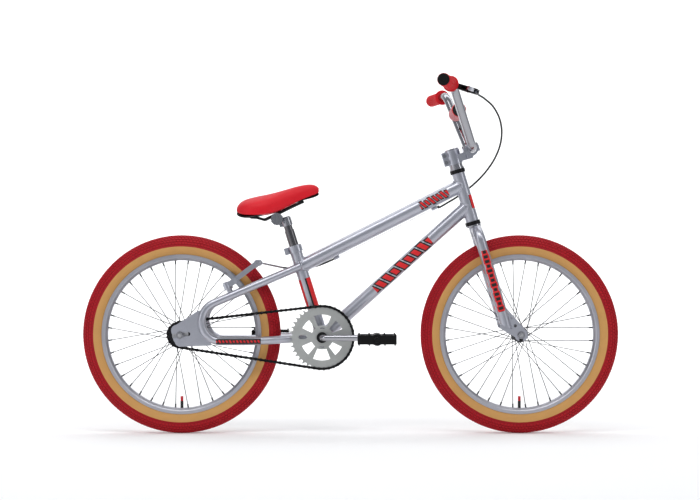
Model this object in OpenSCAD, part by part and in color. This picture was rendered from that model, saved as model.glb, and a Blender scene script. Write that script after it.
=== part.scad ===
// Twenty-inch BMX bike. Origin on the ground under the middle of the wheelbase, +X forward, +Y to the rider's left, +Z up.

/* [Wheels] */
// Distance between the two axles
wheelbase = 877; // [850:1:920]
// Outer radius of the tyres, which is also the axle height
tyre_r = 257; // [252:0.5:262]
// Width of the tyre section
tyre_w = 50; // [44:1:54]
// Outer radius of the rims
rim_r = 207; // [205:0.5:208]
// Overall width of the rims
rim_w = 30; // [28:1:34]
// Depth of the rims from their edge to the spoke bed
rim_depth = 15.4; // [12:0.2:18]
// Diameter of the spokes
spoke_d = 2; // [1.8:0.1:2.3]
// Radius of the hub flanges
flange_r = 20; // [18:0.5:24]
// Diameter of both wheel axles
axle_d = 9.5; // [8:0.1:10]

/* [Frame] */
// Height of the crank axis above the ground
bracket_z = 250; // [244:1:262]
// Angle of the seat tube from level
seat_angle = 72.7; // [70:0.1:74]
// Length of the seat tube from the crank axis to its top
seat_tube_len = 247; // [225:1:300]
// Outer diameter of the seat tube
seat_tube_d = 32; // [30:0.2:34]
// Angle of the steering axis from level
head_angle = 73.5; // [71:0.1:75]
// Length of the head tube
head_tube_len = 130; // [120:1:150]
// Outer diameter of the head tube
head_tube_d = 34; // [33:0.2:40]
// Outer diameter of the top tube
top_tube_d = 36; // [30:0.5:38]
// Outer diameter of the down tube
down_tube_d = 34; // [30:0.5:36]
// Outer diameter of the rear stays
stay_d = 21; // [18:0.2:22]
// Wall of the frame and fork tubes
tube_wall = 1.8; // [1.2:0.1:2.4]
// Outer diameter of the bottom bracket shell
shell_d = 57; // [55:0.2:60]
// Width of the bottom bracket shell
shell_w = 68; // [66:0.5:70]

/* [Fork and bars] */
// Distance of the front axle ahead of the steering axis
fork_offset = 33.7; // [28:0.1:38]
// Distance along the steering axis from the axle's foot to the head tube
fork_len = 315.8; // [310:0.2:330]
// Outer diameter of the fork legs
fork_leg_d = 28; // [22:0.5:28]
// Outer diameter of the steerer tube
steerer_d = 28.6; // [28.4:0.1:28.8]
// Distance of the handlebar clamp ahead of the steering axis
stem_reach = 49; // [46:0.5:56]
// Outer diameter of the handlebar
bar_d = 22.2; // [22:0.1:22.4]
// Height of the grips above the handlebar clamp
bar_rise = 153; // [120:1:200]
// Distance from the middle of the bike to the end of each grip
bar_half_w = 330; // [300:1:350]
// Length of each grip
grip_len = 122; // [110:1:126]
// Outer diameter of the grips
grip_d = 32; // [29:0.5:34]

/* [Drive] */
// Chain pitch
pitch = 12.7; // [12.7:0.1:12.7]
// Teeth on the chainring
ring_teeth = 40; // [40:4:40]
// Teeth on the freewheel
cog_teeth = 16; // [16:4:16]
// Distance of the chain's middle plane from the bike's middle plane
chain_line = 43; // [42.5:0.1:44]
// Length of each crank arm
crank_len = 140; // [127:1:145]
// Length of the pedals along the bike
pedal_len = 98; // [85:1:105]
// Width of the pedal bodies
pedal_w = 86; // [75:1:95]

/* [Saddle] */
// Diameter of the seatpost
post_d = 25.4; // [25:0.1:26]
// Length of the seatpost
post_len = 250; // [230:1:250]
// Height of the post's top above the seat tube's top
post_out = 79; // [70:1:100]
// Widest half-width of the saddle
saddle_half_w = 72; // [60:1:80]

/* [Rear brake] */
// Gap between each brake pad and the rim
pad_gap = 2; // [1.9:0.1:3]

/* [Hidden] */
$fn = 64;

// Clearances
run_gap = 0.05;   // radial gap of a part that turns or slides on another
seat_gap = 0.03;  // gap of a part that sits in another
weld_gap = 0.1;   // gap at a coped tube end

paint = [0.68, 0.68, 0.72];
chrome = [0.82, 0.83, 0.85];
dark = [0.12, 0.12, 0.13];
red = [0.78, 0.09, 0.14];
gum = [0.78, 0.58, 0.34];
alloy = [0.76, 0.76, 0.79];

// ---------- vectors and placing ----------
function unit(v) = v / norm(v);
// Rows of a rigid transform whose Z runs along z and whose X lies as near as it can to x
function basis(at, x, z) =
    let (zz = unit(z), xx = unit(x - (x * zz) * zz), yy = cross(zz, xx))
    [for (i = [0 : 2]) [xx[i], yy[i], zz[i], at[i]]];
function side_of(z) = abs(unit(z)[1]) < 0.9 ? [0, 1, 0] : [1, 0, 0];
module place(at, x, z) multmatrix(concat(basis(at, x, z), [[0, 0, 0, 1]])) children();
module rod(a, b, r) place(a, side_of(b - a), b - a) cylinder(h = norm(b - a), r = r);
module pipe(a, b, r, wall) difference() {
    rod(a, b, r);
    rod(a - unit(b - a), b + unit(b - a), r - wall);
}
// Cylinder along Y at x, z between two values of y
module cross_rod(x, z, y0, y1, r) translate([x, min(y0, y1), z]) rotate([-90, 0, 0])
    cylinder(h = abs(y1 - y0), r = r);
module both_sides() {
    children();
    mirror([0, 1, 0]) children();
}
// Ball race: balls on a circle of radius r about Z
module balls(r, ball_r, count) for (i = [0 : count - 1])
    rotate(i * 360 / count) translate([r, 0, 0]) sphere(r = ball_r, $fn = 24);

// ---------- swept tubes ----------
function turn_at(p, i) = acos(max(-1, min(1, unit(p[i] - p[i - 1]) * unit(p[i + 1] - p[i]))));
// Path p with each corner rounded to radius rb by n short chords
function corner(p, i, rb, n) =
    let (into = unit(p[i] - p[i - 1]), away = unit(p[i + 1] - p[i]), bend = turn_at(p, i),
         inward = unit(away - (away * into) * into), start = p[i] - into * rb * tan(bend / 2))
    [for (k = [0 : n]) start + into * rb * sin(bend * k / n) + inward * rb * (1 - cos(bend * k / n))];
function rounded(p, rb, n = 5) =
    concat([p[0]], [for (i = [1 : len(p) - 2]) each corner(p, i, rb, n)], [p[len(p) - 1]]);
// Smooth curve through every point of p, with n steps between points
function through(p, n) = concat(
    [for (i = [0 : len(p) - 2], k = [0 : n - 1])
        let (a = p[max(i - 1, 0)], b = p[i], c = p[i + 1], d = p[min(i + 2, len(p) - 1)], t = k / n)
        0.5 * (2 * b + (c - a) * t + (2 * a - 5 * b + 4 * c - d) * t * t
            + (3 * b - a - 3 * c + d) * t * t * t)],
    [p[len(p) - 1]]);
function heading(p, i) = unit(i == 0 ? p[1] - p[0] : i == len(p) - 1 ? p[i] - p[i - 1]
    : unit(p[i + 1] - p[i]) + unit(p[i] - p[i - 1]));
function carried(p, v, i = 0) = i == len(p) ? [] :
    let (t = heading(p, i), w = unit(v - (v * t) * t)) concat([w], carried(p, w, i + 1));
function ring_points(at, t, v, r, n) =
    let (w = cross(t, v)) [for (k = [0 : n - 1]) at + r * (cos(360 * k / n) * v + sin(360 * k / n) * w)];
// Faces between ring a and ring b of n points each, listed from index a0 and b0
function band(a0, b0, n) = [for (k = [0 : n - 1]) [a0 + k, a0 + (k + 1) % n, b0 + (k + 1) % n, b0 + k]];
module sweep(p, r, n = 12) {
    side = carried(p, side_of(p[1] - p[0]));
    last = len(p) - 1;
    polyhedron(
        [for (i = [0 : last]) each ring_points(p[i], heading(p, i), side[i], r, n)],
        concat([[for (k = [0 : n - 1]) k]],
            [for (i = [0 : last - 1]) each [for (f = band(i * n, (i + 1) * n, n)) [f[3], f[2], f[1], f[0]]]],
            [[for (k = [n - 1 : -1 : 0]) last * n + k]]),
        convexity = 6);
}
module swept_pipe(p, r, wall, n = 12) {
    side = carried(p, side_of(p[1] - p[0]));
    last = len(p) - 1;
    inner = (last + 1) * n;
    polyhedron(
        concat([for (i = [0 : last]) each ring_points(p[i], heading(p, i), side[i], r, n)],
            [for (i = [0 : last]) each ring_points(p[i], heading(p, i), side[i], r - wall, n)]),
        concat(
            [for (i = [0 : last - 1]) each [for (f = band(i * n, (i + 1) * n, n)) [f[3], f[2], f[1], f[0]]]],
            [for (i = [0 : last - 1]) each band(inner + i * n, inner + (i + 1) * n, n)],
            band(0, inner, n),
            [for (f = band(last * n, inner + last * n, n)) [f[3], f[2], f[1], f[0]]]),
        convexity = 8);
}

// ---------- main points ----------
rear_axle = [-wheelbase / 2, 0, tyre_r];
front_axle = [wheelbase / 2, 0, tyre_r];
// Chain: run_links links in each straight run between the ring and the cog
run_links = 29;
ring_flat = pitch / (2 * tan(180 / ring_teeth));
cog_flat = pitch / (2 * tan(180 / cog_teeth));
centres = sqrt(pow(run_links * pitch, 2) - pow(ring_flat - cog_flat, 2));
drop = rear_axle[2] - bracket_z;
bracket = rear_axle + [sqrt(centres * centres - drop * drop), 0, -drop];
seat_up = [-cos(seat_angle), 0, sin(seat_angle)];
seat_fore = [sin(seat_angle), 0, cos(seat_angle)];
seat_top = bracket + seat_up * seat_tube_len;
steer_up = [-cos(head_angle), 0, sin(head_angle)];
steer_fore = [sin(head_angle), 0, cos(head_angle)];
steer_foot = front_axle - steer_fore * fork_offset;
function steer(u, y, t) = steer_foot + steer_fore * u + [0, y, 0] + steer_up * t;
function seat(u, y, w) = bracket + seat_fore * u + [0, y, 0] + seat_up * w;
module in_steer(t = 0) place(steer(0, 0, t), steer_fore, steer_up) children();
module in_seat(w = 0) place(seat(0, 0, w), seat_fore, seat_up) children();

// ---------- frame tubes ----------
seat_r = seat_tube_d / 2;
head_r = head_tube_d / 2;
shell_r = shell_d / 2;
cup_bore_r = shell_r - 3;
stay_r = stay_d / 2;
top_tube_drop = 32.5;   // top tube joint below the head tube's upper end
down_tube_rise = 41.5;  // down tube joint above the head tube's lower end
top_tube_seat = 191;  // top tube joint on the seat tube, from the crank axis
top_fore = steer(0, 0, fork_len + head_tube_len - top_tube_drop);
top_aft = seat(0, 0, top_tube_seat);
down_fore = steer(0, 0, fork_len + down_tube_rise);
head_bore_r = head_r - 2.6;
post_r = post_d / 2;
module head_solid(extra = 0) rod(steer(0, 0, fork_len), steer(0, 0, fork_len + head_tube_len), head_r + extra);
module seat_solid(extra = 0) rod(bracket, seat_top, seat_r + extra);
module shell_solid(extra = 0) cross_rod(bracket[0], bracket[2], -shell_w / 2, shell_w / 2, shell_r + extra);

module head_tube() color(paint) pipe(steer(0, 0, fork_len), steer(0, 0, fork_len + head_tube_len),
    head_r, head_r - head_bore_r);
module top_tube() color(paint) difference() {
    pipe(top_aft, top_fore, top_tube_d / 2, tube_wall);
    head_solid(weld_gap);
    seat_solid(weld_gap);
}
module down_tube() color(paint) difference() {
    pipe(bracket, down_fore, down_tube_d / 2, tube_wall);
    head_solid(weld_gap);
    shell_solid(weld_gap);
    seat_solid(weld_gap);
}
module seat_tube() color(paint) difference() {
    rod(bracket, seat_top, seat_r);
    rod(bracket, seat_top + seat_up, post_r + run_gap);
    shell_solid(weld_gap);
    // slot at the back that lets the clamp close the tube on the post
    in_seat(seat_tube_len - 22) translate([-seat_r - 2, -1, 0]) cube([seat_r, 2, 30]);
}
module bottom_bracket_shell() color(paint) difference() {
    shell_solid();
    cross_rod(bracket[0], bracket[2], -shell_w, shell_w, cup_bore_r);
}

// ---------- rear triangle ----------
stay_y = 66;          // middle of the stays at the dropouts
stay_bend_r = 50;
stay_x = rear_axle[0] + 56.5;
stay_z = tyre_r - 16;
stay_slope = 23.1;
stay_joint = seat(0, 18, 192);
stay_knee = [stay_x, stay_y, stay_joint[2] - (stay_joint[0] - stay_x) * tan(stay_slope)];
stay_path = rounded([
    stay_joint,
    stay_knee,
    [stay_x, stay_y, stay_z],
    [rear_axle[0] + 168, 64, stay_z],
    [rear_axle[0] + 235, 42, stay_z + 2],
    [rear_axle[0] + 277, 24, stay_z + 4],
    bracket + [-10, 22.4, 0]
], stay_bend_r, 6);
module rear_stays() color(paint) both_sides() difference() {
    swept_pipe(stay_path, stay_r, tube_wall, 14);
    seat_solid(weld_gap);
    shell_solid(weld_gap);
}
hub_half_rear = 55;
dropout_t = 5;
slot_rise = 7;
module dropout_plate() translate([rear_axle[0], hub_half_rear + dropout_t, rear_axle[2]])
    rotate([90, 0, 0]) linear_extrude(dropout_t) difference() {
        union() {
            polygon([[60, 66], [44, 61], [-10, 26], [-22, 8], [-19, -3], [-16, -14], [-9, -26],
                [-2, -30], [80, -27], [80, -10], [60, 10]]);
            translate([-8, 12]) circle(r = 14.5);
        }
        // slot for the axle, open at the back
        rotate(slot_rise) {
            circle(r = axle_d / 2 + 0.2);
            translate([-40, -axle_d / 2 - 0.2]) square([62, axle_d + 0.4]);
            translate([22, 0]) circle(r = axle_d / 2 + 0.2);
        }
    }
module rear_dropouts() color(paint) both_sides() difference() {
    dropout_plate();
    sweep(stay_path, stay_r + weld_gap, 14);
}

// Rear brake: stud axis stands square to the seat stay, in the bike's own plane
stay_dir = [cos(stay_slope), 0, sin(stay_slope)];
stud_up = [-sin(stay_slope), 0, cos(stay_slope)];
stud_rise = 27;
stud_along = 81;      // distance of the studs from the stay's knee
stud_foot = stay_knee + unit(stay_joint - stay_knee) * stud_along;
stud_r = 4;
module brake_studs() both_sides() difference() {
    union() {
        rod(stud_foot, stud_foot + stud_up * (stud_rise + 9), stud_r);
        rod(stud_foot + stud_up * (stud_rise + 8.3), stud_foot + stud_up * (stud_rise + 11), 6.5);
    }
    sweep(stay_path, stay_r + weld_gap, 14);
}
// Cable stops under the top tube
tube_dir = unit(top_fore - top_aft);
tube_down = [tube_dir[2], 0, -tube_dir[0]];
cable_drop = top_tube_d / 2 + 3.4;
stop_r = 4.2;
housing_r = 2.5;
wire_r = 0.8;
function under_tube(s, y = 6) = top_aft + tube_dir * s + tube_down * cable_drop + [0, y, 0];
front_stop = 386;
rear_stop = 88;
module cable_stop(s, way) difference() {
    rod(under_tube(s), under_tube(s + way * 14), stop_r);
    rod(under_tube(s - way), under_tube(s + way * 10), housing_r + run_gap);
    rod(under_tube(s), under_tube(s + way * 20), wire_r + 0.4);
    rod(top_aft, top_fore, top_tube_d / 2 + seat_gap);
}
// Bridges between the two stays
seat_bridge = 202;
module stay_bridge() {
    at = stay_knee + unit(stay_joint - stay_knee) * seat_bridge;
    difference() {
        cross_rod(at[0], at[2], -at[1], at[1], 6);
        both_sides() sweep(stay_path, stay_r + weld_gap, 14);
    }
}
module chainstay_bridge() {
    x = rear_axle[0] + 283;
    difference() {
        cross_rod(x, stay_z + 5, -26, 26, 6);
        both_sides() sweep(stay_path, stay_r + weld_gap, 14);
    }
}
module braze_ons() color(paint) {
    brake_studs();
    cable_stop(front_stop, -1);
    cable_stop(rear_stop, 1);
    stay_bridge();
    chainstay_bridge();
}

// ---------- seat clamp ----------
clamp_h = 18;
clamp_r = seat_r + 3.2;
module seat_clamp() color(alloy) in_seat(seat_tube_len - clamp_h + 1) {
    difference() {
        union() {
            cylinder(h = clamp_h, r = clamp_r);
            translate([-clamp_r - 9, -8, 0]) cube([14, 16, clamp_h]);
        }
        translate([0, 0, -1]) cylinder(h = clamp_h + 2, r = seat_r + seat_gap);
        translate([-clamp_r - 10, -1, -1]) cube([clamp_r, 2, clamp_h + 2]);
        translate([-clamp_r - 3.5, -10, clamp_h / 2]) rotate([-90, 0, 0]) cylinder(h = 20, r = 2.55);
    }
    // its bolt
    translate([-clamp_r - 3.5, -12.5 - seat_gap, clamp_h / 2]) rotate([-90, 0, 0]) {
        cylinder(h = 20, r = 2.5);
        difference() {
            cylinder(h = 4.5, r = 4.4);
            translate([0, 0, -1]) cylinder(h = 3, r = 2.3, $fn = 6);
        }
    }
}

// ---------- headset ----------
cup_h = 10;
race_h = 4;
steer_r = steerer_d / 2;
module headset_cup() difference() {
    union() {
        cylinder(h = cup_h, r = head_r + 3);
        translate([0, 0, -9]) cylinder(h = 10, r = head_bore_r - seat_gap);
    }
    translate([0, 0, -10]) cylinder(h = 30, r = steer_r + 0.6);
    translate([0, 0, 3]) cylinder(h = 10, r = steer_r + 4.15);
}
module headset_cups() color(alloy) {
    in_steer(fork_len + head_tube_len) headset_cup();
    in_steer(fork_len) mirror([0, 0, 1]) headset_cup();
}
upper_race = fork_len + head_tube_len + cup_h + 0.4;
lower_race = fork_len - cup_h - 0.4;
stem_t = 495;         // height of the handlebar clamp along the steering axis
clamp_half = 19;      // half the height of the stem's steerer clamp
stem_foot = stem_t - 6 - clamp_half;
module race() difference() {
    union() {
        cylinder(h = race_h, r = head_r + 2.4);
        translate([0, 0, -6]) cylinder(h = 7, r = steer_r + 1.6);
    }
    translate([0, 0, -7]) cylinder(h = 20, r = steer_r + seat_gap);
}
module headset_races() color(chrome) {
    in_steer(upper_race) race();
    in_steer(lower_race) mirror([0, 0, 1]) race();
    // ball rings
    in_steer(fork_len + head_tube_len + 6.4) balls(steer_r + 2.85, 1.2, 18);
    in_steer(fork_len - 6.4) balls(steer_r + 2.85, 1.2, 18);
    // spacer under the stem
    in_steer(upper_race + race_h) difference() {
        cylinder(h = stem_foot - upper_race - race_h - seat_gap, r = steer_r + 3.4);
        translate([0, 0, -1]) cylinder(h = 60, r = steer_r + seat_gap);
    }
}

// ---------- fork ----------
leg_r = fork_leg_d / 2;
leg_y = 50;
leg_fore = 3;
crown_t = lower_race - race_h;
leg_foot_t = 34;
leg_path = rounded([
    steer(leg_fore, 6, crown_t - 2),
    steer(leg_fore, leg_y, crown_t - 22),
    steer(leg_fore, leg_y, leg_foot_t - 20)
], 34, 7);
stem_head = stem_foot + 2 * clamp_half;
steerer_top = stem_head - 2;
module steerer_tube() color(chrome) pipe(steer(0, 0, crown_t - 26), steer(0, 0, steerer_top), steer_r, 2.2);
// Everything above the crown, which the legs stop under
module above_crown() in_steer(crown_t) cylinder(h = 60, r = 60);
// Block behind and below the slanted lower end of each leg
module leg_end_cut() place(steer(0, 0, leg_foot_t), steer_fore, steer_up)
    rotate([0, 38, 0]) translate([-60, leg_y - 30, -80]) cube([120, 60, 80]);
hub_half_front = 50;
front_plate_t = 5;
module front_outline() {
    translate([fork_offset, 0]) circle(r = 17);
    polygon([[-9, 92], [7, 96], [14, 84], [fork_offset + 15.5, 7], [fork_offset - 3, -16.8], [-11, 30]]);
}
module on_front_plate() place(steer(0, hub_half_front + front_plate_t, 0), steer_fore, steer_up)
    rotate([90, 0, 0]) linear_extrude(front_plate_t) children();
// The slot is a little narrower than the hole it runs into
module front_plate() on_front_plate() difference() {
        front_outline();
        translate([fork_offset, 0]) circle(r = axle_d / 2 + 0.2);
        translate([fork_offset, 0]) rotate(-107) translate([0, -axle_d / 2 - 0.08]) square([30, axle_d + 0.16]);
        for (hole = [[17, 62, 2.6], [22.5, 49, 3], [26, 27, 4]]) translate([hole[0], hole[1]]) circle(r = hole[2]);
    }
module fork_legs() color(paint) both_sides() difference() {
    swept_pipe(leg_path, leg_r, tube_wall, 14);
    rod(steer(0, 0, crown_t - 60), steer(0, 0, crown_t + 20), steer_r + weld_gap);
    above_crown();
    leg_end_cut();
    on_front_plate() front_outline();
}
module fork_dropouts() color(paint) both_sides() front_plate();

// ---------- stem ----------
module stem_body() color(alloy) difference() {
    union() {
        in_steer(stem_foot) cylinder(h = 2 * clamp_half, r = steer_r + 5.5);
        // lugs of the pinch bolts, behind the steerer
        in_steer(stem_foot) translate([-steer_r - 14, -14, 1]) cube([20, 28, 2 * clamp_half - 2]);
        in_steer(stem_t - 9.5) translate([0, -17, -12]) cube([stem_reach, 34, 20]);
        in_steer(stem_t - 9) translate([stem_reach - 21, -25, 0]) cube([42, 50, 9.8]);
        in_steer(stem_t) translate([stem_reach, 0, 0]) rotate([90, 0, 0])
            translate([0, 0, -26]) cylinder(h = 52, r = bar_r + 6);
    }
    in_steer(stem_foot - 1) cylinder(h = 60, r = steer_r + seat_gap);
    in_steer(stem_foot) translate([-steer_r - 20, -1.2, -1]) cube([22, 2.4, 60]);
    in_steer(stem_t) translate([stem_reach, 0, 0]) rotate([90, 0, 0])
        translate([0, 0, -40]) cylinder(h = 80, r = bar_r + seat_gap);
    // the cap takes the upper half of the handlebar clamp
    in_steer(stem_t + 0.8) translate([stem_reach - 22.5, -30, 0]) cube([60, 60, 60]);
    for (z = pinch_heights) in_steer(stem_foot + z) translate([-steer_r - 8, -20, 0]) rotate([-90, 0, 0])
        cylinder(h = 40, r = 3.05);
    for (b = cap_bolts) in_steer(stem_t - 20) translate([b[0], b[1], 0]) cylinder(h = 30, r = 3.05);
}
bar_r = bar_d / 2;
pinch_heights = [clamp_half - 9, clamp_half + 9];
cap_bolts = [for (x = [-15.5, 15.5], y = [-17, 17]) [stem_reach + x, y]];
module stem_cap() color(alloy) in_steer(stem_t) difference() {
    union() {
        translate([stem_reach, 26, 0]) rotate([90, 0, 0]) cylinder(h = 52, r = bar_r + 5);
        translate([stem_reach - 21, -25, 1.2]) cube([42, 50, 7]);
    }
    translate([stem_reach, 40, 0]) rotate([90, 0, 0]) cylinder(h = 80, r = bar_r + seat_gap);
    translate([stem_reach - 30, -40, -40]) cube([60, 80, 41.2]);
    for (b = cap_bolts) translate([b[0], b[1], -1]) {
        cylinder(h = 30, r = 3.05);
        translate([0, 0, 9.2]) cylinder(h = 30, r = 5.3);
    }
}
module cap_screw(len, r) difference() {
    union() {
        cylinder(h = len, r = r);
        translate([0, 0, len]) cylinder(h = 2 * r, r = 1.7 * r);
    }
    translate([0, 0, len + r]) cylinder(h = 2 * r, r = 0.95 * r, $fn = 6);
}
module stem_bolts() color(chrome) {
    for (b = cap_bolts) in_steer(stem_t) translate([b[0], b[1], -7.8]) cap_screw(16, 3);
    for (z = pinch_heights) in_steer(stem_foot + z) translate([-steer_r - 8, 0, 0]) rotate([90, 0, 0])
        translate([0, 0, -14]) cap_screw(28, 3);
    // top cap and its bolt, over the steerer
    in_steer(stem_head + seat_gap) {
        cylinder(h = 3, r = steer_r + 4);
        translate([0, 0, -12]) cylinder(h = 12.5, r = steer_r - 2.2 - seat_gap);
    }
}

// ---------- handlebar ----------
bar_clamp = steer(stem_reach, 0, stem_t);
sweep_back = 11.3;
bar_low_y = 75;
bar_high_y = 165;
bar_lean = 55;        // how far the upper bends lie behind the clamp
grip_dir = [-sin(sweep_back), cos(sweep_back), 0];
bar_high = bar_clamp + [-bar_lean, bar_high_y, bar_rise];
function on_grip(y) = bar_high + grip_dir * ((y - bar_high_y) / cos(sweep_back));
bar_end = on_grip(bar_half_w - 2);
bar_path = rounded([
    for (side = [-1, 1]) each
        let (pts = [bar_clamp + [0, bar_low_y, 0], bar_high, bar_end])
        [for (k = side < 0 ? [2, 1, 0] : [0, 1, 2]) [pts[k][0], side * pts[k][1], pts[k][2]]]
], 40, 5);
cross_at = 98 / 153;  // height of the crossbar as a share of the rise
crossbar_r = 9.5;
cross_mid = bar_clamp + [-bar_lean * cross_at, 0, bar_rise * cross_at];
cross_half = bar_low_y + (bar_high_y - bar_low_y) * cross_at;
module handlebar() color(chrome) {
    swept_pipe(bar_path, bar_r, 2, 16);
    difference() {
        cross_rod(cross_mid[0], cross_mid[2], -cross_half, cross_half, crossbar_r);
        cross_rod(cross_mid[0], cross_mid[2], -cross_half - 1, cross_half + 1, crossbar_r - 1.5);
        both_sides() rod(bar_clamp + [0, bar_low_y, 0], bar_high, bar_r + weld_gap);
    }
}
pad_len = 165;
pad_r = 19;
module crossbar_pad() color(red) difference() {
    cross_rod(cross_mid[0], cross_mid[2], -pad_len / 2, pad_len / 2, pad_r);
    cross_rod(cross_mid[0], cross_mid[2], -pad_len, pad_len, crossbar_r + 0.3);
}
grip_start = on_grip(bar_half_w - grip_len);
module grips() color(red) both_sides() {
    place(grip_start, [0, 0, 1], grip_dir) difference() {
        union() {
            cylinder(h = (grip_len - 2) / cos(sweep_back), r = grip_d / 2);
            cylinder(h = 4, r = grip_d / 2 + 4);
            translate([0, 0, 6]) cylinder(h = 3, r = grip_d / 2 + 1.5);
        }
        translate([0, 0, -1]) cylinder(h = grip_len + 2, r = bar_r + seat_gap);
    }
    // end plug
    place(bar_end, [0, 0, 1], grip_dir) {
        translate([0, 0, seat_gap]) cylinder(h = 3.5, r = grip_d / 2 - 1);
        translate([0, 0, -14]) cylinder(h = 15, r = bar_r - 2 - 0.3);
    }
}

// ---------- brake lever ----------
lever_at = on_grip(bar_half_w - grip_len - 11);
lever_mid = [lever_at[0], -lever_at[1], lever_at[2]];
lever_out = [grip_dir[0], -grip_dir[1], 0];
lever_ahead = [cos(17), 0, -sin(17)];
lever_fore = unit(lever_ahead - (lever_ahead * lever_out) * lever_out);
lever_up = cross(lever_out, lever_fore);
lever_reach = 44;     // pivot ahead of the handlebar's axis
pin_r = 2.5;
adjuster_ahead = 17;   // barrel adjuster ahead of the pivot
adjuster_in = 34;      // inboard of the lever clamp
adjuster_len = 20;
// Local frame of the lever: X ahead, Y out along the grip, Z up through the pivot
module in_lever() place(lever_mid, lever_fore, -lever_up) children();
module brake_lever_bracket() color(dark) in_lever() {
    difference() {
        union() {
            rotate([90, 0, 0]) translate([0, 0, -9]) cylinder(h = 18, r = bar_r + 4.5);
            translate([4, -9, -7]) cube([22, 18, 14]);
            translate([24, -34, -7]) cube([lever_reach, 42, 14]);
            translate([lever_reach, -2, -7]) cylinder(h = 14, r = 8);
        }
        rotate([90, 0, 0]) translate([0, 0, -20]) cylinder(h = 40, r = bar_r + seat_gap);
        // slot for the blade
        translate([27, -26, -4]) cube([60, 66, 8]);
        translate([lever_reach, -2, -20]) cylinder(h = 40, r = pin_r + seat_gap);
        // seat of the barrel adjuster
        translate([lever_reach + adjuster_ahead, -40, 0]) rotate([-90, 0, 0]) cylinder(h = 18, r = 3.05);
    }
    // pivot pin
    translate([lever_reach, -2, -8.5]) cylinder(h = 17, r = pin_r);
}
blade_len = 88;
module brake_lever_blade() color(alloy) in_lever() difference() {
    union() {
        translate([lever_reach, -2, -3.7]) cylinder(h = 7.4, r = 6.5);
        place([lever_reach, -2, 0], [0, 0, 1], [14, 26, 0]) translate([-3.7, -5, 0]) cube([7.4, 10, 29.5]);
        place([lever_reach + 14, 24, 0], [0, 0, 1], [2, 60, 0]) translate([-3.7, -5, -2]) cube([7.4, 9, blade_len - 26]);
        translate([lever_reach + 16, blade_len - 3, -3.7]) cylinder(h = 7.4, r = 6);
    }
    translate([lever_reach, -2, -10]) cylinder(h = 20, r = pin_r + run_gap);
}
adjuster_at = lever_mid + lever_fore * (lever_reach + adjuster_ahead) - lever_out * adjuster_in;
module barrel_adjuster() color(chrome) difference() {
    union() {
        rod(adjuster_at + lever_out * 7, adjuster_at, 3);
        rod(adjuster_at - lever_out * seat_gap, adjuster_at - lever_out * 5, 6);
        rod(adjuster_at - lever_out * 4, adjuster_at - lever_out * adjuster_len, 5);
        rod(adjuster_at + lever_out, adjuster_at - lever_out, 3);
    }
    rod(adjuster_at - lever_out * 10, adjuster_at - lever_out * (adjuster_len + 1), housing_r + run_gap);
    rod(adjuster_at + lever_out * 8, adjuster_at - lever_out * adjuster_len, wire_r + 0.4);
}

// ---------- brake cable ----------
housing_start = adjuster_at - lever_out * 10.5;
housing_points = [
    [324, -137, 867],
    [339, -124, 859],
    [362, -110, 840],
    [379, -94, 812],
    [387, -72, 782],
    [386, -46, 750],
    [376, -20, 718],
    [360, 2, 690],
    [340, 20, 665],
    [318, 30, 644],
    [297, 34, 628],
    [275, 31, 612],
    [253, 20, 599],
    [230, 10, 586]
];
module front_brake_housing() color(dark) sweep(concat(
    [housing_start],
    through(concat(
        [housing_start - lever_out * 12],
        housing_points,
        [under_tube(front_stop + 6)]), 2),
    [under_tube(front_stop - 8)]), housing_r, 8);
noodle_bend = 14;
noodle_z = tyre_r + 185;
noodle_x = rear_axle[0] + 198;
noodle_y = 46;
noodle_path = rounded([
    [rear_axle[0] + 262, 50, noodle_z - 13],
    [noodle_x, 76, noodle_z],
    [noodle_x, noodle_y - 12, noodle_z]
], noodle_bend, 6);
rear_housing_points = [
    [-66, 10, 442],
    [-88, 20, 434],
    [-108, 29, 430],
    [-128, 35, 429],
    [-150, 41, 428]
];
module rear_brake_cable() color(dark) {
    rod(under_tube(rear_stop + 7), under_tube(front_stop - 9), wire_r);
    sweep(concat(
        [under_tube(rear_stop + 8)],
        through(concat(
            [under_tube(rear_stop - 4)],
            rear_housing_points,
            [noodle_path[0] + 0.4 * unit(noodle_path[0] - noodle_path[1])]), 3)), housing_r, 8);
    // wire between the noodle's boot and the right arm, which clamps it
    cross_rod(noodle_x, noodle_z, -noodle_y + 22 - seat_gap, -noodle_y - 20, wire_r);
}
module brake_noodle() color(chrome) {
    sweep(noodle_path, 2.6, 10);
    // rubber boot round the wire, between the arms
    difference() {
        cross_rod(noodle_x, noodle_z, noodle_y - 7, -noodle_y + 22, 5);
        cross_rod(noodle_x, noodle_z, noodle_y, noodle_y - 12.1, 2.65);
    }
}

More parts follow.
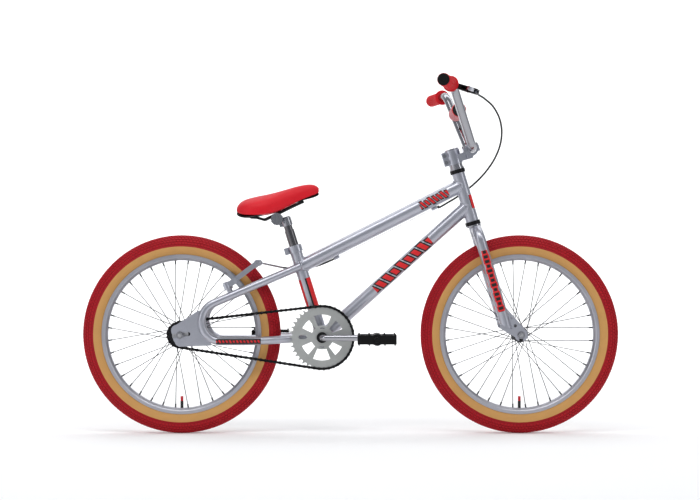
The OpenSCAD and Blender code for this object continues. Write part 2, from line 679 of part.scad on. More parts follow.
// ---------- rear brake arms ----------
rim_wall_r = rim_r - 8;
pad_at = rear_axle + [rim_wall_r * cos(45), 0, rim_wall_r * sin(45)];
stud_y = stud_foot[1];
pivot_at = stud_foot + stud_up * (stud_rise);
arm_top = [noodle_x, stud_y - 4, noodle_z];
pad_in = rim_w / 2 + pad_gap;
module brake_arm(cable_r) {
    difference() {
        union() {
            rod(pivot_at - stud_up * 9.5, pivot_at + stud_up * 8, 8);
            place(pivot_at, [0, 1, 0], arm_top - pivot_at) translate([-5, -6.5, 0])
                cube([10, 13, norm(arm_top - pivot_at)]);
            cross_rod(arm_top[0], arm_top[2], arm_top[1] - 8, arm_top[1] + 6, 8.5);
            cross_rod(pad_at[0], pad_at[2], stud_y - 7, stud_y + 7, 7.5);
        }
        rod(pivot_at - stud_up * 12, pivot_at + stud_up * 40, stud_r + run_gap);
        cross_rod(arm_top[0], arm_top[2], 0, 90, cable_r);
        cross_rod(pad_at[0], pad_at[2], 0, 90, 3 + seat_gap);
    }
    // brake shoe with its post
    difference() {
        place(pad_at + [0, pad_in, 0], [1, 0, -1], [0, 1, 0]) translate([-24, -5, 0]) cube([48, 10, 11]);
        // the shoe follows the rim's curve
        cross_rod(rear_axle[0], rear_axle[2], 0, 90, rim_wall_r - 6);
    }
    cross_rod(pad_at[0], pad_at[2], pad_in + 11, stud_y + 12, 3);
    cross_rod(pad_at[0], pad_at[2], stud_y + 7.1, stud_y + 12, 6);
}
module right_brake_arm() color(alloy) mirror([0, 1, 0]) brake_arm(1.7);
module left_brake_arm() color(alloy) brake_arm(2.65);

// ---------- wheels ----------
module about(axle) translate(axle) rotate([-90, 0, 0]) children();
bed_r = rim_r - rim_depth;
rim_half = rim_w / 2;
rim_profile = [
    [bed_r, -7], [bed_r, 7], [bed_r + 5.4, rim_half - 1.5], [bed_r + 7.4, rim_half], [rim_r, rim_half],
    [rim_r, rim_half - 2.4], [bed_r + 8.2, rim_half - 2.4], [bed_r + 6.8, rim_half - 3.4],
    [bed_r + 2.2, 6.4], [bed_r + 2.2, -6.4], [bed_r + 6.8, -rim_half + 3.4],
    [bed_r + 8.2, -rim_half + 2.4], [rim_r, -rim_half + 2.4], [rim_r, -rim_half],
    [bed_r + 7.4, -rim_half], [bed_r + 5.4, -rim_half + 1.5]
];
valve_angle = 90;     // the valve stands at the bottom of the wheel
spokes = 36;
function rim_angle(k) = valve_angle + (k - 0.5) * 360 / spokes;
hub_hole_r = flange_r - 3;
flange_t = 3;
// Spoke k of a wheel with flanges at y = right and y = left: its two ends, in the wheel's own frame
function spoke_lead(k) = floor(k / 2) % 2 == 0 ? 1 : -1;
// Spokes on a flange's outer face stand off it, because they lean back across its edge
function spoke_y(k, flanges) = flanges[k % 2] + spoke_lead(k) * (k % 2 == 0 ? -1 : 1)
    * (flange_t / 2 + spoke_d / 2 + (spoke_lead(k) > 0 ? 1 : 0.1));
function spoke_foot(k, flanges) =
    let (a = rim_angle(k) + spoke_lead(k) * 60) [hub_hole_r * cos(a), hub_hole_r * sin(a), spoke_y(k, flanges)];
function spoke_top(k) =
    let (a = rim_angle(k)) [bed_r * cos(a), bed_r * sin(a), (k % 2 == 0 ? -2 : 2)];
spoke_r = spoke_d / 2;
nipple_r = 2;
module wheel_spokes(flanges) for (k = [0 : spokes - 1]) {
    foot = spoke_foot(k, flanges);
    top = spoke_top(k);
    out = unit(top - foot);
    near = foot[2] - flanges[k % 2] > 0 ? 1 : -1;
    // spoke with its elbow and head
    rod(foot, top - out * 8, spoke_r);
    translate([foot[0], foot[1], foot[2] + near * spoke_r]) mirror([0, 0, near > 0 ? 1 : 0])
        cylinder(h = abs(foot[2] - flanges[k % 2]) + spoke_r + flange_t / 2 + 1.2, r = spoke_r + 0.05);
    translate([foot[0], foot[1], flanges[k % 2] - near * (flange_t / 2 + 0.7)])
        translate([0, 0, -0.6]) cylinder(h = 1.2, r = 2);
    // nipple
    rod(top - out * 9.5, top + out * 4.8, nipple_r);
    rod(top + out * 3.1, top + out * 4.8, 2.9);
}
module wheel_rim() difference() {
    rotate_extrude($fn = 96) polygon(rim_profile);
    for (k = [0 : spokes - 1]) {
        a = rim_angle(k);
        out = unit(spoke_top(k) - spoke_foot(k, [-30, 30]));
        rod(spoke_top(k) - out * 3, spoke_top(k) + out * 8, nipple_r + 0.4);
    }
    rotate(valve_angle) translate([bed_r - 3, 0, 0]) rotate([0, 90, 0]) cylinder(h = 10, r = 4.2);
}
// Outline of the tyre section as an egg whose top is at tyre_r
tyre_half = tyre_w / 2;
tyre_rise = (tyre_r - rim_r + 6) / 2;
tyre_mid = tyre_r - tyre_rise;
function egg(a, inset) = [tyre_mid + (tyre_rise - inset) * cos(a), (tyre_half - inset) * sin(a)];
bead_r = rim_r - 6.4;
bead_half = rim_half - 2.4 - seat_gap;
tyre_wall = 3;
open_angle = acos((rim_r + 0.1 - tyre_mid) / tyre_rise); // where the wall meets the rim's edge
inner_angle = 155;    // where the inside of the wall meets the bead
module wheel_tyre() rotate_extrude($fn = 96) polygon(concat(
    [for (k = [0 : 24]) egg(-open_angle + k * open_angle / 12, 0)],
    [[rim_r + 0.1, bead_half], [bead_r, bead_half], [bead_r, bead_half - 3.4]],
    [for (k = [0 : 20]) egg(inner_angle - k * inner_angle / 10, tyre_wall)],
    [[bead_r, -bead_half + 3.4], [bead_r, -bead_half], [rim_r + 0.1, -bead_half]]));
tube_inset = tyre_wall + 0.4;
valve_len = 42;
module wheel_inner_tube() {
    difference() {
        union() {
            rotate_extrude($fn = 96) difference() {
                polygon([for (k = [0 : 23]) egg(k * 15, tube_inset)]);
                polygon([for (k = [0 : 23]) egg(k * 15, tube_inset + 1.4)]);
            }
            rotate(valve_angle) translate([bed_r - 18, 0, 0]) rotate([0, 90, 0])
                cylinder(h = tyre_mid - tyre_rise + tube_inset + 0.9 - bed_r + 18, r = 3.9);
        }
        // air way through the valve
        rotate(valve_angle) translate([bed_r - 19, 0, 0]) rotate([0, 90, 0]) cylinder(h = 60, r = 1);
    }
    // valve cap
    rotate(valve_angle) translate([bed_r - 18 - 12, 0, 0]) rotate([0, 90, 0]) cylinder(h = 11.9, r = 3.6);
}
ball_r = 2.38;
cone_r = 6;
race_r = cone_r + 2 * ball_r + 0.1;
module hub_shell(flanges, half) difference() {
    union() {
        translate([0, 0, -half[0]]) cylinder(h = half[0] + half[1], r = race_r + 2.4);
        for (f = flanges) translate([0, 0, f - flange_t / 2]) cylinder(h = flange_t, r = flange_r);
    }
    translate([0, 0, -half[0] - 1]) cylinder(h = half[0] + half[1] + 2, r = axle_d / 2 + 2.5);
    translate([0, 0, -half[0] - 1]) cylinder(h = 10, r = race_r);
    translate([0, 0, half[1] - 9]) cylinder(h = 10, r = race_r);
    for (k = [0 : spokes - 1]) {
        foot = spoke_foot(k, flanges);
        translate([foot[0], foot[1], flanges[k % 2] - flange_t]) cylinder(h = 2 * flange_t, r = spoke_r + 0.1);
    }
}
// Axle, cones and balls of a wheel; the axle reaches out on both sides
module axle_set(half, locknut, reach) {
    translate([0, 0, -reach + axle_out]) cylinder(h = 2 * (reach - axle_out), r = axle_d / 2);
    // ends that stand out of the nuts, for a peg
    translate([0, 0, -reach]) cylinder(h = 2 * reach, r = axle_d / 2 - axle_step);
    for (s = [0, 1]) mirror([0, 0, s]) {
        difference() {
            union() {
                translate([0, 0, half[1 - s] - 8]) cylinder(h = locknut - half[1 - s] + 8 - seat_gap, r = cone_r);
                translate([0, 0, half[1 - s] + 0.4]) cylinder(h = locknut - half[1 - s] - 0.4 - seat_gap, r = cone_r + 3);
            }
            translate([0, 0, -10]) cylinder(h = 90, r = axle_d / 2 + seat_gap);
        }
        translate([0, 0, half[1 - s] - 4.5]) balls(cone_r + ball_r + 0.05, ball_r, 9);
    }
}
module axle_nuts(inner, reach) for (s = [0, 1]) mirror([0, 0, s]) difference() {
    union() {
        translate([0, 0, inner]) cylinder(h = 1.8, r = 10);
        translate([0, 0, inner + 1.8]) cylinder(h = 8, r = 8.6, $fn = 6);
    }
    translate([0, 0, inner - 1]) cylinder(h = 20, r = axle_d / 2 + seat_gap);
}
front_flanges = [-30, 30];
front_half = [38, 38];
rear_flanges = [-26, 34];
rear_half = [34, 43];
nut_depth = 9.8;
axle_out = 8;
axle_step = 0.75;     // how much narrower the ends are than the axle
front_reach = hub_half_front + front_plate_t + nut_depth + axle_out;
rear_reach = hub_half_rear + dropout_t + nut_depth + axle_out;
module front_hub() color(dark) about(front_axle) hub_shell(front_flanges, front_half);
module front_spokes() color(chrome) about(front_axle) wheel_spokes(front_flanges);
module front_rim() color(alloy) about(front_axle) wheel_rim();
module front_tyre() color(gum) about(front_axle) wheel_tyre();
module front_inner_tube() color(dark) about(front_axle) wheel_inner_tube();
module front_axle_set() color(chrome) about(front_axle) axle_set(front_half, hub_half_front, front_reach);
module front_axle_nuts() color(chrome) about(front_axle) axle_nuts(hub_half_front + front_plate_t, front_reach);
module rear_hub() color(dark) about(rear_axle) hub_shell(rear_flanges, rear_half);
module rear_spokes() color(chrome) about(rear_axle) wheel_spokes(rear_flanges);
module rear_rim() color(alloy) about(rear_axle) wheel_rim();
module rear_tyre() color(gum) about(rear_axle) wheel_tyre();
module rear_inner_tube() color(dark) about(rear_axle) wheel_inner_tube();
module rear_axle_set() color(chrome) about(rear_axle) axle_set(rear_half, hub_half_rear, rear_reach);
module rear_axle_nuts() color(chrome) about(rear_axle) axle_nuts(hub_half_rear + dropout_t, rear_reach);

// ---------- chain drive ----------
// Frame of the drive: X from the rear axle to the crank axis, Z to the rider's left
drive_dir = unit(bracket - rear_axle);
module in_drive(at) place([at[0], -chain_line, at[2]], drive_dir, [0, 1, 0]) children();
roller_r = 3.88;
seat_arc_r = roller_r + 0.1;
function polar(r, a) = [r * cos(a), r * sin(a)];
// Outline of a sprocket of n teeth with a tooth on the X axis
function sprocket(n) =
    let (pr = pitch / (2 * sin(180 / n)), step = 360 / n, tip_r = pitch * (0.6 + 1 / tan(180 / n)) / 2)
    [for (i = [0 : n - 1]) each
        let (a = (i + 0.5) * step, c = polar(pr, a))
        concat(
            [polar(tip_r, a - step / 2 - 52 / tip_r), polar(tip_r, a - step / 2 + 52 / tip_r)],
            [for (k = [-4 : 4]) c - polar(seat_arc_r, a - k * 15.5)])];
ring_t = 3;
module sprocket_plate(n, t) translate([0, 0, -t / 2]) linear_extrude(t) polygon(sprocket(n));
// Window between radii r0 and r1 and angles a0 and a1
module window(r0, r1, a0, a1) {
    n = 8;
    polygon(concat([for (k = [0 : n]) polar(r1, a0 + (a1 - a0) * k / n)],
        [for (k = [n : -1 : 0]) polar(r0, a0 + (a1 - a0) * k / n)]));
}
collar_r = 12;
module chainring() color(alloy) in_drive(bracket) difference() {
    sprocket_plate(ring_teeth, ring_t);
    translate([0, 0, -5]) cylinder(h = 10, r = collar_r);
    translate([0, 0, -5]) linear_extrude(10) {
        for (side = [0, 180]) {
            rotate(side) window(31, 59, 68, 112);
            rotate(side) window(29, 56, 24, 52);
            rotate(side) window(29, 56, 128, 156);
            // shallow slots near the centre
            rotate(side) window(23, 26, 76, 104);
        }
        translate([-44, 0]) circle(r = 5);
        translate([-56, -5]) square([12, 10]);
        translate([-56, 0]) circle(r = 5);
    }
}
// Drive frame as seen from the ring: its Z is the rider's left, so outboard is -Z
module crank_cones() color(dark) in_drive(bracket) {
    difference() {
        union() {
            translate([0, 0, -ring_t / 2 - 5]) cylinder(h = 5, r = 14);
            translate([0, 0, -ring_t / 2 - 5]) cylinder(h = 5 + ring_t, r = collar_r - seat_gap);
        }
        translate([0, 0, -20]) cylinder(h = 40, r = crank_r + seat_gap);
    }
    cone_from = ring_t / 2 + seat_gap;
    inside = chain_line - shell_w / 2;
    difference() {
        union() {
            translate([0, 0, cone_from]) cylinder(h = 6, r = 13);
            translate([0, 0, inside]) cylinder(h = 6, r = 12.5);
            translate([0, 0, cone_from]) cylinder(h = inside, r = 12.5);
        }
        translate([0, 0, -20]) cylinder(h = 60, r = crank_r + seat_gap);
    }
    difference() {
        union() {
            translate([0, 0, chain_line + shell_w / 2 - 6]) cylinder(h = 9.5, r = 12.5);
            translate([0, 0, chain_line + shell_w / 2 + 3.5]) cylinder(h = 6, r = 15);
        }
        translate([0, 0, 60]) cylinder(h = 60, r = crank_r + seat_gap);
    }
}
crank_ball_r = 3.1;
module bottom_bracket_cups() color(chrome) for (s = [0, 1]) mirror([0, s, 0])
    translate([bracket[0], 0, bracket[2]]) rotate([-90, 0, 0]) {
        difference() {
            union() {
                translate([0, 0, shell_w / 2 - 9]) cylinder(h = 9, r = cup_bore_r - seat_gap);
                translate([0, 0, shell_w / 2]) cylinder(h = 1.8, r = shell_r - 1);
            }
            translate([0, 0, 0]) cylinder(h = 60, r = 16);
            translate([0, 0, shell_w / 2 - 6]) cylinder(h = 60, r = 12.5 + 2 * crank_ball_r + 0.1);
        }
        translate([0, 0, shell_w / 2 - 2.8]) balls(12.5 + crank_ball_r + 0.05, crank_ball_r, 9);
    }
cog_t = 3;
free_r = 21;
module freewheel_cog() color(dark) in_drive(rear_axle) difference() {
    union() {
        sprocket_plate(cog_teeth, cog_t);
        translate([0, 0, -4]) cylinder(h = 10, r = free_r + 5);
    }
    translate([0, 0, -20]) cylinder(h = 40, r = free_r + run_gap);
}
module freewheel_body() color(alloy) in_drive(rear_axle) difference() {
    translate([0, 0, -6]) cylinder(h = chain_line - rear_half[0] + 9.2, r = free_r);
    translate([0, 0, -20]) cylinder(h = 60, r = cone_r + 3.6);
    translate([0, 0, chain_line - rear_half[0] - 0.3]) cylinder(h = 60, r = race_r + 2.4 + seat_gap);
    // notches for the removing tool
    for (a = [0, 180]) rotate(a) translate([12, -3, -20]) cube([6, 6, 18]);
}
// Roller k of the closed chain, in the drive frame of the crank axis
ring_seated = 22;
cog_seated = 8;
links = ring_seated - 1 + cog_seated - 1 + 2 * run_links;
ring_pr = pitch / (2 * sin(180 / ring_teeth));
cog_pr = pitch / (2 * sin(180 / cog_teeth));
ring_step = 360 / ring_teeth;
cog_step = 360 / cog_teeth;
function ring_roller(i) = polar(ring_pr, (i - (ring_seated - 1) / 2) * ring_step);
function cog_roller(i) = [-centres, 0] + polar(cog_pr, 180 + (i - (cog_seated - 1) / 2) * cog_step);
top_start = ring_seated - 1;
cog_start = top_start + run_links;
low_start = cog_start + cog_seated - 1;
function roller(k) =
    k <= top_start ? ring_roller(k)
    : k < cog_start ? ring_roller(top_start)
        + (cog_roller(0) - ring_roller(top_start)) * (k - top_start) / run_links
    : k <= low_start ? cog_roller(k - cog_start)
    : cog_roller(cog_seated - 1)
        + (ring_roller(0) - cog_roller(cog_seated - 1)) * (k - low_start) / run_links;
plate_t = 1;
inner_half = 1.8;     // half the gap between the inner plates
chain_pin_r = 1.8;
bush_r = 2.6;
module link_at(k) {
    a = roller(k);
    d = roller((k + 1) % links) - a;
    translate([a[0], a[1], 0]) rotate(atan2(d[1], d[0])) children();
}
// Figure-of-eight side plate lying on z = 0
module link_plate(hole_r) linear_extrude(plate_t) difference() {
    union() {
        for (x = [0, pitch]) translate([x, 0]) circle(r = 4.1, $fn = 24);
        translate([0, -3]) square([pitch, 6]);
    }
    if (hole_r > 0) for (x = [0, pitch]) translate([x, 0]) circle(r = hole_r, $fn = 24);
}
outer_z = inner_half + plate_t + 0.1;
module outer_link() {
    for (s = [0, 1]) mirror([0, 0, s]) translate([0, 0, outer_z]) link_plate(0);
    for (x = [0, pitch]) translate([x, 0, -outer_z - plate_t - 0.6])
        cylinder(h = 2 * (outer_z + plate_t + 0.6), r = chain_pin_r, $fn = 24);
}
module inner_link() difference() {
    union() {
        for (s = [0, 1]) mirror([0, 0, s]) translate([0, 0, inner_half]) link_plate(0);
        for (x = [0, pitch]) translate([x, 0, -inner_half]) cylinder(h = 2 * inner_half, r = bush_r, $fn = 24);
    }
    for (x = [0, pitch]) translate([x, 0, -10]) cylinder(h = 20, r = chain_pin_r + 0.08, $fn = 24);
}
module chain_outer_links() color(dark) in_drive(bracket) for (k = [0 : 2 : links - 1]) link_at(k) outer_link();
module chain_inner_links() color(dark) in_drive(bracket) for (k = [1 : 2 : links - 1]) link_at(k) inner_link();
module chain_rollers() color(dark) in_drive(bracket) for (k = [0 : links - 1])
    translate([roller(k)[0], roller(k)[1], 0]) difference() {
        cylinder(h = 2 * inner_half - 0.1, r = roller_r, center = true, $fn = 24);
        cylinder(h = 10, r = bush_r + 0.06, center = true, $fn = 24);
    }

// ---------- crank and pedals ----------
crank_r = 8;
crank_bend = 14;
right_bend_y = 66;
left_bend_y = 60;
eye_t = 16.4;
right_eye_y = right_bend_y + 8;
left_eye_y = left_bend_y + 12;
right_eye = bracket + [crank_len, -right_eye_y, 0];
left_eye = bracket + [-crank_len, left_eye_y, 0];
crank_path = rounded([
    left_eye,
    bracket + [0, left_bend_y, 0],
    bracket + [0, -right_bend_y, 0],
    right_eye
], crank_bend, 6);
spindle_thread_r = 6.3;
module crank() color(chrome) difference() {
    union() {
        sweep(crank_path, crank_r, 16);
        cross_rod(right_eye[0], right_eye[2], -right_eye_y - eye_t / 2, -right_eye_y + eye_t / 2, 13.5);
        cross_rod(left_eye[0], left_eye[2], left_eye_y - eye_t / 2, left_eye_y + eye_t / 2, 13.5);
    }
    cross_rod(right_eye[0], right_eye[2], -right_eye_y - 20, -right_eye_y + 20, spindle_thread_r + seat_gap);
    cross_rod(left_eye[0], left_eye[2], left_eye_y - 20, left_eye_y + 20, spindle_thread_r + seat_gap);
}
// Pedal frame: origin at the crank eye's outer face, Z outboard
module at_pedal(eye, side) translate([eye[0], side * (abs(eye[1]) + eye_t / 2), eye[2]])
    rotate([-side * 90, 0, 0]) children();
pedal_gap = 9;
pedal_shaft_r = 4.6;
module pedal_spindle() {
    translate([0, 0, -eye_t + 0.5]) cylinder(h = eye_t - 0.5, r = spindle_thread_r);
    translate([0, 0, seat_gap]) cylinder(h = 5, r = 8.2);
    translate([0, 0, -0.5]) cylinder(h = pedal_gap + pedal_w - 6, r = pedal_shaft_r);
    translate([0, 0, pedal_gap + pedal_w - 8]) cylinder(h = 5, r = 6.4);
}
module pedal_spindles() color(chrome) {
    at_pedal(right_eye, -1) pedal_spindle();
    at_pedal(left_eye, 1) pedal_spindle();
}
pedal_h = 23;
cage_t = 9;
module pedal_body() translate([0, 0, pedal_gap]) difference() {
    union() {
        translate([-pedal_len / 2, -pedal_h / 2, 0]) cube([pedal_len, pedal_h, pedal_w]);
        cylinder(h = pedal_w, r = 15);
        // grip studs on both faces
        for (x = [-0.46, -0.2, 0.2, 0.46], z = [0.06, 0.94])
            translate([x * pedal_len, 0, z * pedal_w]) rotate([90, 0, 0])
                cylinder(h = pedal_h + 6, r = 2, center = true, $fn = 16);
    }
    for (s = [-1, 1]) translate([s * (pedal_len / 4 + 3) - (pedal_len / 4 - cage_t) * 0.9, -20, cage_t])
        cube([(pedal_len / 4 - cage_t) * 1.8, 40, pedal_w - 2 * cage_t]);
    translate([0, 0, -1]) cylinder(h = pedal_w + 2, r = pedal_shaft_r + run_gap);
    // pocket for the spindle's nut, closed by nothing
    translate([0, 0, pedal_w - 8.4]) cylinder(h = 20, r = 7);
}
module right_pedal() color(dark) at_pedal(right_eye, -1) pedal_body();
module left_pedal() color(dark) at_pedal(left_eye, 1) pedal_body();

// ---------- seatpost and saddle ----------
neck_r = 11;
neck_len = 36;
post_top = seat_tube_len + post_out;
post_at = seat(0, 0, post_top);
tilt_at = seat(0, 0, post_top - 6) - [22, 0, 0];
module seatpost() color(chrome) difference() {
    union() {
        rod(seat(0, 0, post_top - post_len), seat(0, 0, post_top - neck_len), post_r);
        rod(seat(0, 0, post_top - neck_len - 2), post_at, neck_r);
    }
    rod(seat(0, 0, post_top - post_len - 1), seat(0, 0, post_top - neck_len - 4), post_r - 1.6);
}
rail_y = 22;
clamp_bolt_r = 4;
module saddle_clamp() color(chrome) {
    difference() {
        union() {
            // band round the post's neck
            in_seat(post_top - 24) cylinder(h = 22, r = neck_r + 3);
            cross_rod(tilt_at[0], tilt_at[2], -14, 14, 9);
            in_seat(post_top - 24) translate([-20, -6, 2]) cube([16, 12, 18]);
        }
        in_seat(post_top - 40) cylinder(h = 60, r = neck_r + seat_gap);
        cross_rod(tilt_at[0], tilt_at[2], -40, 40, clamp_bolt_r + seat_gap);
    }
    // cross bolt with its two nuts
    cross_rod(tilt_at[0], tilt_at[2], -36, 36, clamp_bolt_r);
    both_sides() difference() {
        translate([tilt_at[0], 31, tilt_at[2]]) rotate([-90, 0, 0]) cylinder(h = 6, r = 7.5, $fn = 6);
        cross_rod(tilt_at[0], tilt_at[2], 20, 60, clamp_bolt_r + seat_gap);
    }
}
rail_r = 3.5;
rail_slope = 26;
rail_dir = [cos(rail_slope), 0, sin(rail_slope)];
rail_up = [-sin(rail_slope), 0, cos(rail_slope)];
rail_rise = 12.5;
rail_mid = tilt_at + rail_up * rail_rise;
rail_path = rounded([
    tilt_at + [-70, 31, 5],
    tilt_at + [-54, 29, 4.5],
    rail_mid - rail_dir * 30 + [0, rail_y, 0],
    rail_mid + rail_dir * 50 + [0, rail_y, 0],
    tilt_at + [68, 12, 46]
], 9, 3);
// Serrated washers that hold the rails and turn on the cross bolt
module rail_clamps() color(chrome) both_sides() difference() {
    cross_rod(tilt_at[0], tilt_at[2], 14.3, 30.7, 16);
    cross_rod(tilt_at[0], tilt_at[2], 0, 60, clamp_bolt_r + run_gap);
    place(rail_mid + [0, rail_y, 0], [0, 1, 0], rail_dir) translate([0, 0, -60]) cylinder(h = 120, r = rail_r + seat_gap);
    for (k = [0 : 11]) translate([tilt_at[0], 0, tilt_at[2]]) rotate([0, k * 30 + 15, 0])
        translate([16.5, 0, 0]) rotate([-90, 0, 0]) cylinder(h = 60, r = 1.6, $fn = 16);
}
module saddle_rails() color(chrome) both_sides() sweep(rail_path, rail_r, 10);
// Saddle stations: place along the bike, underside, top and half-width, from the tilt axis
saddle_stations = [
    [-104, 20, 32, 30], [-97, 14, 44, 48], [-80, 11, 53, 64], [-50, 10, 60, 72], [-18, 14, 66, 63],
    [12, 25, 74, 43], [44, 42, 84, 28], [74, 56, 91, 22], [97, 64, 91, 17], [108, 70, 82, 9]
];
function station_ring(s, base, drop) =
    let (w = (s[3] - base) * saddle_half_w / 72, low = s[1] - drop, high = base > 0 ? s[1] - 0.2 : s[2], n = 9)
    [for (k = [0 : n])
        let (a = 180 * k / n)
        tilt_at + [s[0], w * cos(a), low + (high - low) * pow(sin(a), 0.6)]];
module loft(rings) {
    n = len(rings[0]);
    last = len(rings) - 1;
    polyhedron([for (r = rings) each r],
        concat([[for (k = [0 : n - 1]) k]],
            [for (i = [0 : last - 1]) each [for (f = band(i * n, (i + 1) * n, n)) [f[3], f[2], f[1], f[0]]]],
            [[for (k = [n - 1 : -1 : 0]) last * n + k]]),
        convexity = 4);
}
module saddle_cover() color(red) loft([for (s = saddle_stations) station_ring(s, 0, 0)]);
module saddle_base() color(dark) difference() {
    loft([for (s = saddle_stations) station_ring(s, 3, 9)]);
    both_sides() sweep(rail_path, rail_r + seat_gap, 10);
    // room for the washers
    cross_rod(tilt_at[0], tilt_at[2], -32, 32, 17.2);
}

head_tube();
top_tube();
down_tube();
seat_tube();
bottom_bracket_shell();
rear_stays();
rear_dropouts();
braze_ons();
seat_clamp();
headset_cups();
bottom_bracket_cups();
rear_axle_set();
rear_axle_nuts();
chain_outer_links();
chain_inner_links();
chain_rollers();
rear_brake_cable();
front_brake_housing();
steerer_tube();
fork_legs();
fork_dropouts();
headset_races();
stem_body();
stem_cap();
stem_bolts();
handlebar();
crossbar_pad();
grips();
brake_lever_bracket();
barrel_adjuster();
front_axle_set();
front_axle_nuts();
brake_lever_blade();
front_hub();
front_spokes();
front_rim();
front_tyre();
front_inner_tube();
rear_hub();
rear_spokes();
rear_rim();
rear_tyre();
rear_inner_tube();
freewheel_body();
freewheel_cog();
crank();
chainring();
crank_cones();
pedal_spindles();
right_pedal();
left_pedal();
seatpost();
saddle_clamp();
rail_clamps();
saddle_rails();
saddle_base();
saddle_cover();
right_brake_arm();
left_brake_arm();
brake_noodle();
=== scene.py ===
"""Finishes a small-wheeled bike: lacquer, chrome, rubber, padded saddle and bar pad, and its studio."""
from math import acos, atan2, cos, degrees, pi, radians, sin, sqrt, tan

import bmesh
import bpy
from mathutils import Matrix, Vector


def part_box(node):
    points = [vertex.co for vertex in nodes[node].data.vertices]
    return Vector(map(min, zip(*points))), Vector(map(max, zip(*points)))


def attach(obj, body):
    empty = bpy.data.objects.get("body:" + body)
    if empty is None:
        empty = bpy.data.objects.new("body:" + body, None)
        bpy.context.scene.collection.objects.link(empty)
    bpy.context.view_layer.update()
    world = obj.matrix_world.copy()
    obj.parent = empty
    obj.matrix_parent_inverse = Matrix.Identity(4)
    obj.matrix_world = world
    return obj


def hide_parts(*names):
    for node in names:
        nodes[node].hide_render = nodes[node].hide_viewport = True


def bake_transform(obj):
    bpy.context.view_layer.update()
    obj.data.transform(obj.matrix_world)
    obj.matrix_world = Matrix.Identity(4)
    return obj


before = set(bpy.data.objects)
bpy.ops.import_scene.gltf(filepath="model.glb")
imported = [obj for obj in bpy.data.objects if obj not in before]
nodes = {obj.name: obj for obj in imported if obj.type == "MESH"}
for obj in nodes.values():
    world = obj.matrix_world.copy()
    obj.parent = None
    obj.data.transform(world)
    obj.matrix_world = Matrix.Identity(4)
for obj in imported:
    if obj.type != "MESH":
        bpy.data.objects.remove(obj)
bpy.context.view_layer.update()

bl_info = {
    "name": "Small-Wheeled Bike",
    "version": (1, 0, 0),
    "blender": (4, 5, 0),
    "location": "View3D > Sidebar > Bike",
    "description": "Builds the soft goods, tubes, tyres and finishes of a small-wheeled bike",
    "category": "Object",
}

MM = 0.001


# ---------------------------------------------------------------- places
def middle(node):
    """Middle of a part's box, in millimetres."""
    low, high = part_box(node)
    return (Vector(low) + Vector(high)) / 2 / MM


def span(node, axis):
    """Lowest and highest place of a part along an axis, in millimetres."""
    low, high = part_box(node)
    return low[axis] / MM, high[axis] / MM


rear_axle = middle("rear_rim")
front_axle = middle("front_rim")
bracket = middle("bottom_bracket_shell")
rear_axle.y = front_axle.y = bracket.y = 0
tyre_r = (span("front_tyre", 2)[1] - span("front_tyre", 2)[0]) / 2
seat_angle, head_angle, rake = radians(72.7), radians(73.5), 33.7
seat_up = Vector((-cos(seat_angle), 0, sin(seat_angle)))
seat_fore = Vector((seat_up.z, 0, -seat_up.x))
steer_up = Vector((-cos(head_angle), 0, sin(head_angle)))
steer_fore = Vector((steer_up.z, 0, -steer_up.x))
steer_foot = front_axle - steer_fore * rake
ACROSS = Vector((0, 1, 0))


def steer(fore, y, up):
    """Place in the steering's own directions, from the foot of its axis."""
    return steer_foot + steer_fore * fore + ACROSS * y + steer_up * up


def seat(fore, y, up):
    """Place along the seat tube, from the crank axis."""
    return bracket + seat_fore * fore + ACROSS * y + seat_up * up


def flipped(points):
    """The same points on the other side of the bike."""
    return [Vector((p.x, -p.y, p.z)) for p in points]


def rounded(points, radius, steps):
    """Path with each corner turned to an arc."""
    points = [Vector(p) for p in points]
    path = [points[0]]
    for before, here, after in zip(points, points[1:], points[2:]):
        into = (here - before).normalized()
        away = (after - here).normalized()
        bend = acos(max(-1, min(1, into.dot(away))))
        if bend < 0.01:
            path.append(here)
            continue
        inward = (away - away.dot(into) * into).normalized()
        start = here - into * radius * tan(bend / 2)
        for k in range(steps + 1):
            turn = bend * k / steps
            path.append(start + into * radius * sin(turn) + inward * radius * (1 - cos(turn)))
    return path + [points[-1]]


def through(points, steps):
    """Smooth path through every point."""
    points = [Vector(p) for p in points]
    path = []
    for i in range(len(points) - 1):
        a, b = points[max(i - 1, 0)], points[i]
        c, d = points[i + 1], points[min(i + 2, len(points) - 1)]
        for k in range(steps):
            t = k / steps
            path.append(0.5 * (2 * b + (c - a) * t + (2 * a - 5 * b + 4 * c - d) * t * t
                               + (3 * b - a - 3 * c + d) * t ** 3))
    return path + [points[-1]]


rim_edge, fork_len, head_len = 207, 315.8, 130
head_foot = steer(0, 0, fork_len)
top_fore, top_aft = steer(0, 0, fork_len + head_len - 32.5), seat(0, 0, 191)
down_fore = steer(0, 0, fork_len + 41.5)
tube_dir = (top_fore - top_aft).normalized()
tube_down = Vector((tube_dir.z, 0, -tube_dir.x))
down_dir = (down_fore - bracket).normalized()
head_r, seat_r, top_r, down_r, stay_r, shell_r = 17, 16, 18, 17, 10.5, 28.5
leg_r, bar_r, cross_r, crank_r, rail_r, housing_r, wire_r = 14, 11.1, 9.5, 8, 3.5, 2.5, 0.8

stay_x, stay_z, stay_slope = rear_axle.x + 56.5, tyre_r - 16, radians(23.1)
stay_joint = seat(0, 18, 192)
stay_knee = Vector((stay_x, 66, stay_joint.z - (stay_joint.x - stay_x) * tan(stay_slope)))
stay_points = rounded([
    stay_joint, stay_knee, (stay_x, 66, stay_z), (rear_axle.x + 168, 64, stay_z),
    (rear_axle.x + 235, 42, stay_z + 2), (rear_axle.x + 277, 24, stay_z + 4),
    bracket + Vector((-10, 22.4, 0))], 50, 10)
leg_points = rounded([steer(3, 6, 299.4), steer(3, 50, 279.4), steer(3, 50, 14)], 34, 12)

